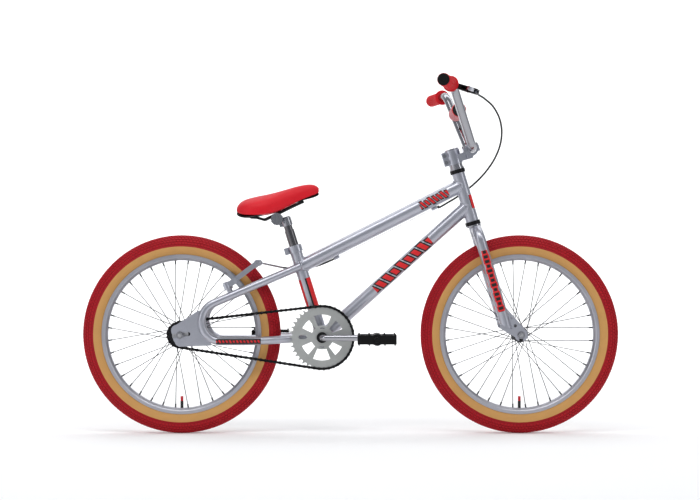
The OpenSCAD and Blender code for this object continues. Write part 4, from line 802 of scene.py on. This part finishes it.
class BIKE_OT_wheels(bpy.types.Operator):
    """Finishes rims and spokes, and moulds the tyres with their tread"""

    bl_idname = "bike.wheels"
    bl_label = "Wheels"

    def execute(self, context):
        sizes, colours = context.scene.bike_sizes, context.scene.bike_colours
        # painted shade: the spokes get a copy of plated steel with a far darker tone than the bright steel
        # parts
        spoke_painted_dark = plated("spoke_steel_painted_dark", (0.10, 0.10, 0.11), 0.3, 0.42, 60.0)
        blocks = soft_rubber("tread_block_rubber", colours.tread)
        for side, centre in (("front", front_axle), ("rear", rear_axle)):
            coat(side + "_rim", turned(side + "_rim_anodised", colours.rim, centre, 0.3, 0.44, 0.85, 1900.0))
            coat(side + "_spokes", spoke_painted_dark)
            coat(side + "_inner_tube", tube_rubber(side + "_tube_rubber", centre))
            tyre = self.mould(side + "_tyre_moulded", centre, sizes)
            tyre.data.materials.append(tyre_rubber(side + "_tyre_rubber", centre))
            tyre.data.materials.append(blocks)
            ready(tyre, side + "_wheel", None, [side + "_tyre"], sharp=32)
        return {"FINISHED"}

    def mould(self, name, centre, sizes):
        """Casing turned round the axle, and blocks repeated round it in brick order."""
        depth = sizes.tread_depth / MM
        bead_top, bead_foot, bead_y, half_wide = 207.1, 200.6, 12.57, 25
        rise = (tyre_r - rim_edge + 6) / 2
        mid = tyre_r - rise
        open_angle = degrees(acos((bead_top - mid) / rise))

        def section(angle, inset):
            a = radians(angle)
            return mid + (rise - inset) * cos(a), (half_wide - inset) * sin(a)

        outer = [section(-open_angle + k * open_angle / 18, depth if abs(-18 + k) < 11.2 else 0.35)
                 for k in range(37)]
        inner = [section(155 - k * 155 / 12, 3.0 + depth) for k in range(25)]
        bead = [(bead_top, bead_y), (bead_foot, bead_y), (bead_foot, 9.2)]
        profile = outer + bead + inner + [(r, -y) for r, y in reversed(bead)]
        place = facing(centre, ACROSS)
        shape = bmesh.new()
        count = sizes.tread_blocks
        lathe(shape, [*profile, profile[0]], place, count)
        pitch = 2 * pi * tyre_r / count
        casing = set(shape.verts)
        # angle of each row round the section, and how wide its blocks are
        rows = ((6, 5.2), (19, 5.2), (32, 5.2), (45.5, 5.4), (59.5, 5.4), (74.5, 5.6))
        for side in (-1, 1):
            for row, (angle, wide) in enumerate(rows):
                r0, y0 = section(side * angle, depth * 0.5)
                a = radians(angle)
                outward = Vector((cos(a) * half_wide, side * sin(a) * rise, 0)).normalized()
                turn = pitch * (0.5 if (row + (side > 0)) % 2 else 0.0) / tyre_r
                side_way = Vector((-outward.y, outward.x, 0))
                basis = Matrix((Vector((0, 0, 1)), side_way, outward)).transposed().to_4x4()
                spot = Matrix.Translation((r0, y0, 0)) @ basis
                about = place @ Matrix.Rotation(turn, 4, "Z") @ Matrix(
                    ((1, 0, 0, 0), (0, 0, 1, 0), (0, 1, 0, 0), (0, 0, 0, 1)))
                made = bmesh.ops.create_cube(shape, size=1)["verts"]
                block = (pitch * 0.72 * r0 / tyre_r, wide * 0.8, depth * 0.98)
                bmesh.ops.scale(shape, vec=block, verts=made)
                top = max(v.co.z for v in made)
                for v in made:
                    if v.co.z > top - 0.01:
                        v.co.x *= 0.86
                        v.co.y *= 0.88
                bmesh.ops.transform(shape, matrix=about @ spot, verts=made)
        blocks = [v for v in shape.verts if v not in casing]
        faces = list({f for v in blocks for f in v.link_faces})
        edges = list({e for v in blocks for e in v.link_edges})
        bmesh.ops.recalc_face_normals(shape, faces=faces)
        # the blocks take the lighter block rubber; the casing between them keeps its darker red, painted
        # shade and dust in the grooves
        for face in faces:
            face.material_index = 1
        bmesh.ops.spin(shape, geom=blocks + edges + faces, cent=centre, axis=ACROSS,
                       angle=2 * pi * (count - 1) / count, steps=count - 1, use_duplicate=True)
        return from_bmesh(name, shape)


class BIKE_OT_handlebar(bpy.types.Operator):
    """Bends the handlebar, fits its crossbar and welds it"""

    bl_idname = "bike.handlebar"
    bl_label = "Handlebar"

    def execute(self, context):
        chrome = bpy.data.materials["polished_chrome"]
        bar = tube("handlebar_tube", [bar_points], bar_r, fine=12)
        cross = [cross_mid - ACROSS * cross_half, cross_mid + ACROSS * cross_half]
        ready(bar, "steering", chrome, ["handlebar"])
        ready(tube("handlebar_crossbar", [cross], cross_r, fine=10), "steering", chrome)
        riser = bar_high - bar_foot
        line = weld_line(cross_mid, ACROSS, cross_r, bar_foot, riser, bar_r)
        # the weld sits on the inner face of the riser
        line = [p - ACROSS * 2 * abs(p.y - (bar_foot + riser * cross_share).y) for p in line]
        ready(tube("handlebar_welds", [line, flipped(line)], 1.7, closed=True, fine=3, swell=ripple),
              "steering", chrome)
        return {"FINISHED"}


class BIKE_OT_grips(bpy.types.Operator):
    """Moulds the ribbed grips with their flanges, and the end plugs"""

    bl_idname = "bike.grips"
    bl_label = "Grips"

    def execute(self, context):
        sizes, colours = context.scene.bike_sizes, context.scene.bike_colours
        rib = sizes.grip_rib / MM
        length = (grip_len - 2) / cos(sweep_back)
        bore = bar_r + 0.2
        profile = [(bore, 0), (19.2, 0), (20, 0.8), (20, 3.2), (19.2, 4), (16.6, 4.6), (16.2, 5.6), (17.3, 6),
                   (17.5, 7.5), (17.2, 9), (16 - rib, 9.6)]
        height = 11.0
        while height < length - 8:
            profile += [(16 - rib, height), (16, height + 0.5), (16, height + 2.0), (16 - rib, height + 2.5)]
            height += 3.6
        profile += [(15.6, length - 6), (16, length - 5), (16, length - 1.2), (15, length - 0.2),
                    (bore, length)]
        rubber, plugs = bmesh.new(), bmesh.new()
        plug = [(0.0, 2.7), (8, 2.7), (8.8, 3.5), (13.2, 3.5), (14.6, 2.8), (15, 1.6), (15, 0.1), (8.6, 0.1),
                (8.6, -13), (0.0, -13)]
        for side in (-1, 1):
            way = Vector((grip_dir.x, side * grip_dir.y, 0))
            foot = Vector((grip_start.x, side * grip_start.y, grip_start.z))
            lathe(rubber, [*profile, profile[0]], facing(foot, way), 48)
            end = Vector((bar_end.x, side * bar_end.y, bar_end.z))
            lathe(plugs, plug, facing(end, way), 48)
        ready(from_bmesh("grip_rubber", rubber), "steering", soft_rubber("grip_moulding", colours.grip),
              ["grips"])
        moulded = bpy.data.materials["moulded_plastic"]
        ready(from_bmesh("grip_plugs", plugs), "steering", moulded)
        return {"FINISHED"}


class BIKE_OT_bar_pad(bpy.types.Operator):
    """Rolls the crossbar pad: cover with bound ends over a foam core"""

    bl_idname = "bike.bar_pad"
    bl_label = "Bar Pad"

    def execute(self, context):
        sizes, colours = context.scene.bike_sizes, context.scene.bike_colours
        half = sizes.pad_length / MM / 2
        place = facing(cross_mid, ACROSS)
        shape = bmesh.new()
        rows = 44
        profile = []
        for k in range(rows + 1):
            t = -1 + 2 * k / rows
            edge = max(0.0, (abs(t) - 0.9) / 0.1)
            bulge = 18.3 + 0.5 * (1 - t * t) - 1.1 * edge ** 2 + (0.5 if 0.925 < abs(t) < 0.985 else 0)
            profile.append((bulge, t * half))
        profile += [(16.6, half - 0.6), (16.6, half - 3), (16.6, -half + 3), (16.6, -half + 0.6)]
        lathe(shape, [*profile, profile[0]], place, 72)
        depth = sizes.cover_wrinkle / MM
        for v in shape.verts:
            y = v.co.y - cross_mid.y
            out = Vector((v.co.x - cross_mid.x, 0, v.co.z - cross_mid.z))
            if out.length < 17 or abs(y) > half - 6:
                continue
            a = atan2(out.z, out.x)
            fold = sin(y * 0.21 + 3 * sin(a * 2)) * 0.45 + sin(y * 0.47 + a * 5) * 0.3
            fold += sin(y * 0.83 - a * 3) * 0.2
            # the overlap of the wrap runs along the underside
            lap = 0.9 if abs(a + 1.9) < 0.09 else 0.0
            ease = 1 - (abs(y) / half) ** 4
            v.co += out.normalized() * (-abs(fold) * depth * ease - lap)
        cover = from_bmesh("crossbar_pad_cover", shape)
        cloth = woven("pad_cover_weave", colours.pad, shade(colours.mark_red, 0.95), cross_mid.y, half * MM)
        ready(cover, "steering", cloth, ["crossbar_pad"], sharp=50)
        smooth = cover.modifiers.new("softened", "SUBSURF")
        smooth.levels = smooth.render_levels = 1
        core = bmesh.new()
        end = half - 2.0
        lathe(core, [(9.8, -end), (10.4, -end - 0.5), (15.6, -end - 0.4), (16.5, -end + 0.8),
                     (16.5, end - 0.8), (15.6, end + 0.4), (10.4, end + 0.5), (9.8, end), (9.8, -end)],
              place, 56)
        black_foam = foam("pad_foam", (0.02, 0.02, 0.021))
        foam_core = ready(from_bmesh("crossbar_pad_foam", core), "steering", black_foam)
        return {"FINISHED"}


class BIKE_OT_cables(bpy.types.Operator):
    """Runs the brake housings, the wire and the noodle"""

    bl_idname = "bike.cables"
    bl_label = "Brake Cables"

    def execute(self, context):
        black = housing("cable_housing", context.scene.bike_colours.black)
        drop = top_r + 3.4

        def under_tube(s):
            return top_aft + tube_dir * s + tube_down * drop + ACROSS * 6

        start = adjuster_at - lever_out * 10.5
        route = [(324, -137, 867), (339, -124, 859), (362, -110, 840), (379, -94, 812), (387, -72, 782),
                 (386, -46, 750), (376, -20, 718), (360, 2, 690), (340, 20, 665), (318, 30, 644),
                 (297, 34, 628), (275, 31, 612), (253, 20, 599), (230, 10, 586)]
        run = [start] + through([start - lever_out * 12, *route, under_tube(392)], 5) + [under_tube(378)]
        front = tube("front_housing", [run], housing_r, fine=5)
        ready(front, None, black, ["front_brake_housing"])
        tuple(under_tube(392) * MM)
        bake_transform(front)

        noodle_x, noodle_z = rear_axle.x + 198, tyre_r + 185
        noodle = rounded([(rear_axle.x + 262, 50, noodle_z - 13), (noodle_x, 76, noodle_z),
                          (noodle_x, 34, noodle_z)], 14, 10)
        points = [(-66, 10, 442), (-88, 20, 434), (-108, 29, 430), (-128, 35, 429), (-150, 41, 428)]
        mouth = noodle[0] + (noodle[0] - noodle[1]).normalized() * 0.4
        run = [under_tube(96)] + through([under_tube(84), *points, mouth], 6)
        rear = tube("rear_housing", [run], housing_r, fine=5)
        ready(rear, None, black, ["rear_brake_cable"])
        tuple(under_tube(84) * MM)
        tuple(mouth * MM)
        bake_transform(rear)
        steel = bpy.data.materials["bright_steel"]
        wire = tube("brake_wire", [[under_tube(95), under_tube(377)]], wire_r, fine=3)
        ready(wire, "frame", steel)

        elbow = tube("noodle_elbow", [noodle], 2.6, fine=6)
        ready(elbow, "left_brake", bpy.data.materials["polished_chrome"], ["brake_noodle"])
        boot = bmesh.new()
        profile = [(3.6, 0)]
        for k in range(11):
            foot = k * 5.0
            profile += [(4.9, 1.2 + foot), (4.9, 3.2 + foot), (4.4, 4.0 + foot), (4.4, 5.4 + foot)]
        length = 63.0
        # the bore is wide enough for the wire to swing in it as the arms close
        profile = [(r, min(h, length)) for r, h in profile]
        profile += [(4.4, length), (4.0, length), (4.0, 7), (2.65, 6), (2.65, 0)]
        lathe(boot, [*profile, profile[0]], facing((noodle_x, 39, noodle_z), -ACROSS), 32)
        ready(from_bmesh("noodle_boot", boot), "left_brake", black)
        tail = [Vector((noodle_x, -10, noodle_z)), Vector((noodle_x, -66, noodle_z))]
        ready(tube("noodle_wire", [tail], wire_r, fine=3), "right_brake", steel)
        return {"FINISHED"}


class BIKE_OT_crank(bpy.types.Operator):
    """Forges the one-piece crank with its two eyes"""

    bl_idname = "bike.crank"
    bl_label = "Crank"

    def execute(self, context):
        right, left = bracket + Vector((140, -74, 0)), bracket + Vector((-140, 72, 0))
        path = rounded([left, bracket + ACROSS * 60, bracket - ACROSS * 66, right], 14, 12)
        arms = tube("crank_arms", [path], crank_r, fine=10)
        shape = bmesh.new()
        ring = [(6.4, -8.2), (12.4, -8.2), (13.5, -7.1), (13.5, 7.1), (12.4, 8.2), (6.4, 8.2), (6.4, -8.2)]
        for eye in (right, left):
            lathe(shape, ring, facing(eye, ACROSS), 56)
        chrome = bpy.data.materials["polished_chrome"]
        ready(arms, "crankset", chrome, ["crank"])
        ready(from_bmesh("crank_eyes", shape), "crankset", chrome)
        return {"FINISHED"}


# stations from tail to nose: distance ahead of the clamp, underside, top, and half the width
SADDLE = [(-104, 20, 32, 30), (-97, 14, 44, 48), (-80, 11, 53, 64), (-50, 10, 60, 72), (-18, 14, 66, 63),
          (12, 25, 74, 43), (44, 42, 84, 28), (74, 56, 91, 22), (97, 64, 91, 17), (108, 70, 82, 9)]
# how far the base hangs below the cover at each station, as a share of its drop
BASE_SHOWS = (1.0, 1.0, 0.9, 0.3, -0.6, -0.8, -0.3, 0.5, 0.8, 0.8)


class BIKE_OT_saddle(bpy.types.Operator):
    """Moulds the saddle's cover and base, and bends its rails"""

    bl_idname = "bike.saddle"
    bl_label = "Saddle"

    def execute(self, context):
        colours = context.scene.bike_colours
        cover = self.shell("saddle_cover_moulded", 0, 0, 28, True)
        red_vinyl = vinyl("saddle_leathercloth", colours.saddle)
        ready(cover, "saddle", red_vinyl, ["saddle_cover"], sharp=70)
        base = self.shell("saddle_base_shell", 3, 9, 24, False)
        moulded = bpy.data.materials["moulded_plastic"]
        ready(base, "saddle", moulded, ["saddle_base"], sharp=60)
        slope = radians(26)
        along, up = Vector((cos(slope), 0, sin(slope))), Vector((-sin(slope), 0, cos(slope)))
        rail_mid = tilt_at + up * 12.5
        rail = rounded([tilt_at + Vector((-70, 31, 5)), tilt_at + Vector((-54, 29, 4.5)),
                        rail_mid - along * 30 + ACROSS * 22, rail_mid + along * 50 + ACROSS * 22,
                        tilt_at + Vector((68, 12, 46))], 9, 6)
        ready(tube("saddle_rail_rods", [rail, flipped(rail)], rail_r, fine=6), "saddle",
              bpy.data.materials["black_coating"], ["saddle_rails"])
        return {"FINISHED"}

    def shell(self, name, inset, drop, count, soft):
        """Bridges the saddle's stations and softens the result."""
        shape = bmesh.new()
        rings = []
        for index, (x, low, top, wide) in enumerate(SADDLE):
            ring = bmesh.ops.create_circle(shape, segments=count, radius=1)["verts"]
            width = wide - inset
            # the base shows at the back and under the nose; between them the cover's skirt hides it
            foot = low - drop * BASE_SHOWS[index] if inset else low
            peak = low - 0.2 if inset else top
            for k, v in enumerate(ring):
                a = 2 * pi * k / count
                side, lift = cos(a), sin(a)
                if lift >= -0.001:
                    y, z = width * side, foot + (peak - foot) * max(lift, 0) ** 0.6
                else:
                    # the underside is nearly flat
                    y, z = width * side * 0.97, foot + 0.04 * (peak - foot) * lift
                v.co = tilt_at + Vector((x, y, z))
            rings.append(ring)
        for first, second in zip(rings, rings[1:]):
            loops = [e for e in shape.edges
                     if all(v in first for v in e.verts) or all(v in second for v in e.verts)]
            bmesh.ops.bridge_loops(shape, edges=loops)
        for ring in (rings[0], rings[-1]):
            hoop = [e for e in shape.edges if all(v in ring for v in e.verts)]
            bmesh.ops.contextual_create(shape, geom=hoop)
        caps = [f for f in shape.faces if len(f.verts) > 4]
        bmesh.ops.inset_individual(shape, faces=caps, thickness=2.0)
        bmesh.ops.recalc_face_normals(shape, faces=shape.faces)
        piece = from_bmesh(name, shape)
        smooth = piece.modifiers.new("softened", "SUBSURF")
        smooth.levels = smooth.render_levels = 2 if soft else 1
        return piece


class BIKE_OT_stage(bpy.types.Operator):
    """Sets the pale floor, the lamps and the camera"""

    bl_idname = "bike.stage"
    bl_label = "Stage"

    def execute(self, context):
        scene = context.scene
        shape = bmesh.new()
        rise = [(-12, 0.0), (5.4, 0.0), (6.0, 0.06), (6.5, 0.25), (6.9, 0.6), (7.1, 1.1), (7.2, 1.8),
                (7.2, 7.0)]
        rows = [shape.verts.new((-14, y, z)) for y, z in rise]
        edges = [shape.edges.new(pair) for pair in zip(rows, rows[1:])]
        pulled = bmesh.ops.extrude_edge_only(shape, edges=edges)["geom"]
        far_side = [g for g in pulled if isinstance(g, bmesh.types.BMVert)]
        bmesh.ops.translate(shape, vec=(28, 0, 0), verts=far_side)
        bmesh.ops.recalc_face_normals(shape, faces=shape.faces)
        floor_piece = from_bmesh("studio_floor", shape, 1)
        f = Finish("studio_paper")
        f.feed(base_color=f.blend(f.noise(3, 2), (0.9, 0.9, 0.9), (0.92, 0.92, 0.92)),
               roughness=0.9 + f.noise(5) * 0.05)
        f.shader.inputs["Emission Color"].default_value = (1, 1, 1, 1)
        f.shader.inputs["Emission Strength"].default_value = 0.1
        floor_piece.data.materials.append(f.material)
        floor_piece.data.shade_smooth()

        world = bpy.data.worlds.new("studio_air")
        scene.world = world
        world.use_nodes = True
        world.node_tree.nodes["Background"].inputs["Color"].default_value = (0.9, 0.94, 1, 1)
        world.node_tree.nodes["Background"].inputs["Strength"].default_value = 0.36
        lamps = (
            ("lamp_high", (-0.2, -1.7, 2.9), (0, 0, 0.4), 3.4, 1.0, 42),
            ("lamp_left", (-3.4, -2.2, 1.5), (0, 0, 0.5), 0.7, 2.6, 20),
            ("lamp_right", (3.4, -1.8, 2.2), (0.2, 0, 0.5), 0.7, 2.6, 16),
            ("lamp_paper", (0.0, 3.8, 3.6), (0, 6.0, 0.2), 7.0, 1.2, 210),
            ("lamp_floor", (0.0, 1.2, 3.6), (0, 1.4, 0.0), 6.0, 1.6, 60),
        )
        for name, spot, aim, wide, tall, power in lamps:
            light = bpy.data.lights.new(name, "AREA")
            light.shape = "RECTANGLE"
            light.size, light.size_y, light.energy = wide, tall, power
            lamp = bpy.data.objects.new(name, light)
            lamp.location = spot
            lamp.rotation_euler = (Vector(aim) - Vector(spot)).to_track_quat("-Z", "Y").to_euler()
            scene.collection.objects.link(lamp)

        lens = bpy.data.cameras.new("camera")
        lens.lens, lens.sensor_width = 94.94, 36
        lens.clip_end = 60
        camera = bpy.data.objects.new("camera", lens)
        camera.location = (-0.0016, -4.8, 0.4755)
        camera.rotation_euler = (pi / 2, 0, 0)
        scene.collection.objects.link(camera)
        scene.camera = camera
        scene.view_settings.view_transform = "Standard"
        return {"FINISHED"}


OPERATORS = (
    BIKE_OT_stage, BIKE_OT_metalwork, BIKE_OT_frame_tubes, BIKE_OT_fork, BIKE_OT_wheels, BIKE_OT_handlebar,
    BIKE_OT_grips, BIKE_OT_bar_pad, BIKE_OT_cables, BIKE_OT_crank, BIKE_OT_saddle,
)


class BIKE_PT_sidebar(bpy.types.Panel):
    """Lists the bike's sizes, colours and pieces"""

    bl_idname = "BIKE_PT_sidebar"
    bl_label = "Small-Wheeled Bike"
    bl_space_type = "VIEW_3D"
    bl_region_type = "UI"
    bl_category = "Bike"

    def draw(self, context):
        for group in (context.scene.bike_sizes, context.scene.bike_colours):
            box = self.layout.box()
            for key in group.__annotations__:
                box.prop(group, key)
        for operator in OPERATORS:
            self.layout.operator(operator.bl_idname)


CLASSES = (BikeSizes, BikeColours, *OPERATORS, BIKE_PT_sidebar)


def register():
    for made in CLASSES:
        bpy.utils.register_class(made)
    bpy.types.Scene.bike_sizes = bpy.props.PointerProperty(type=BikeSizes)
    bpy.types.Scene.bike_colours = bpy.props.PointerProperty(type=BikeColours)


def unregister():
    del bpy.types.Scene.bike_colours
    del bpy.types.Scene.bike_sizes
    for made in reversed(CLASSES):
        bpy.utils.unregister_class(made)


def main():
    register()
    for operator in OPERATORS:
        group, name = operator.bl_idname.split(".")
        getattr(getattr(bpy.ops, group), name)()


if __name__ == "__main__":
    main()
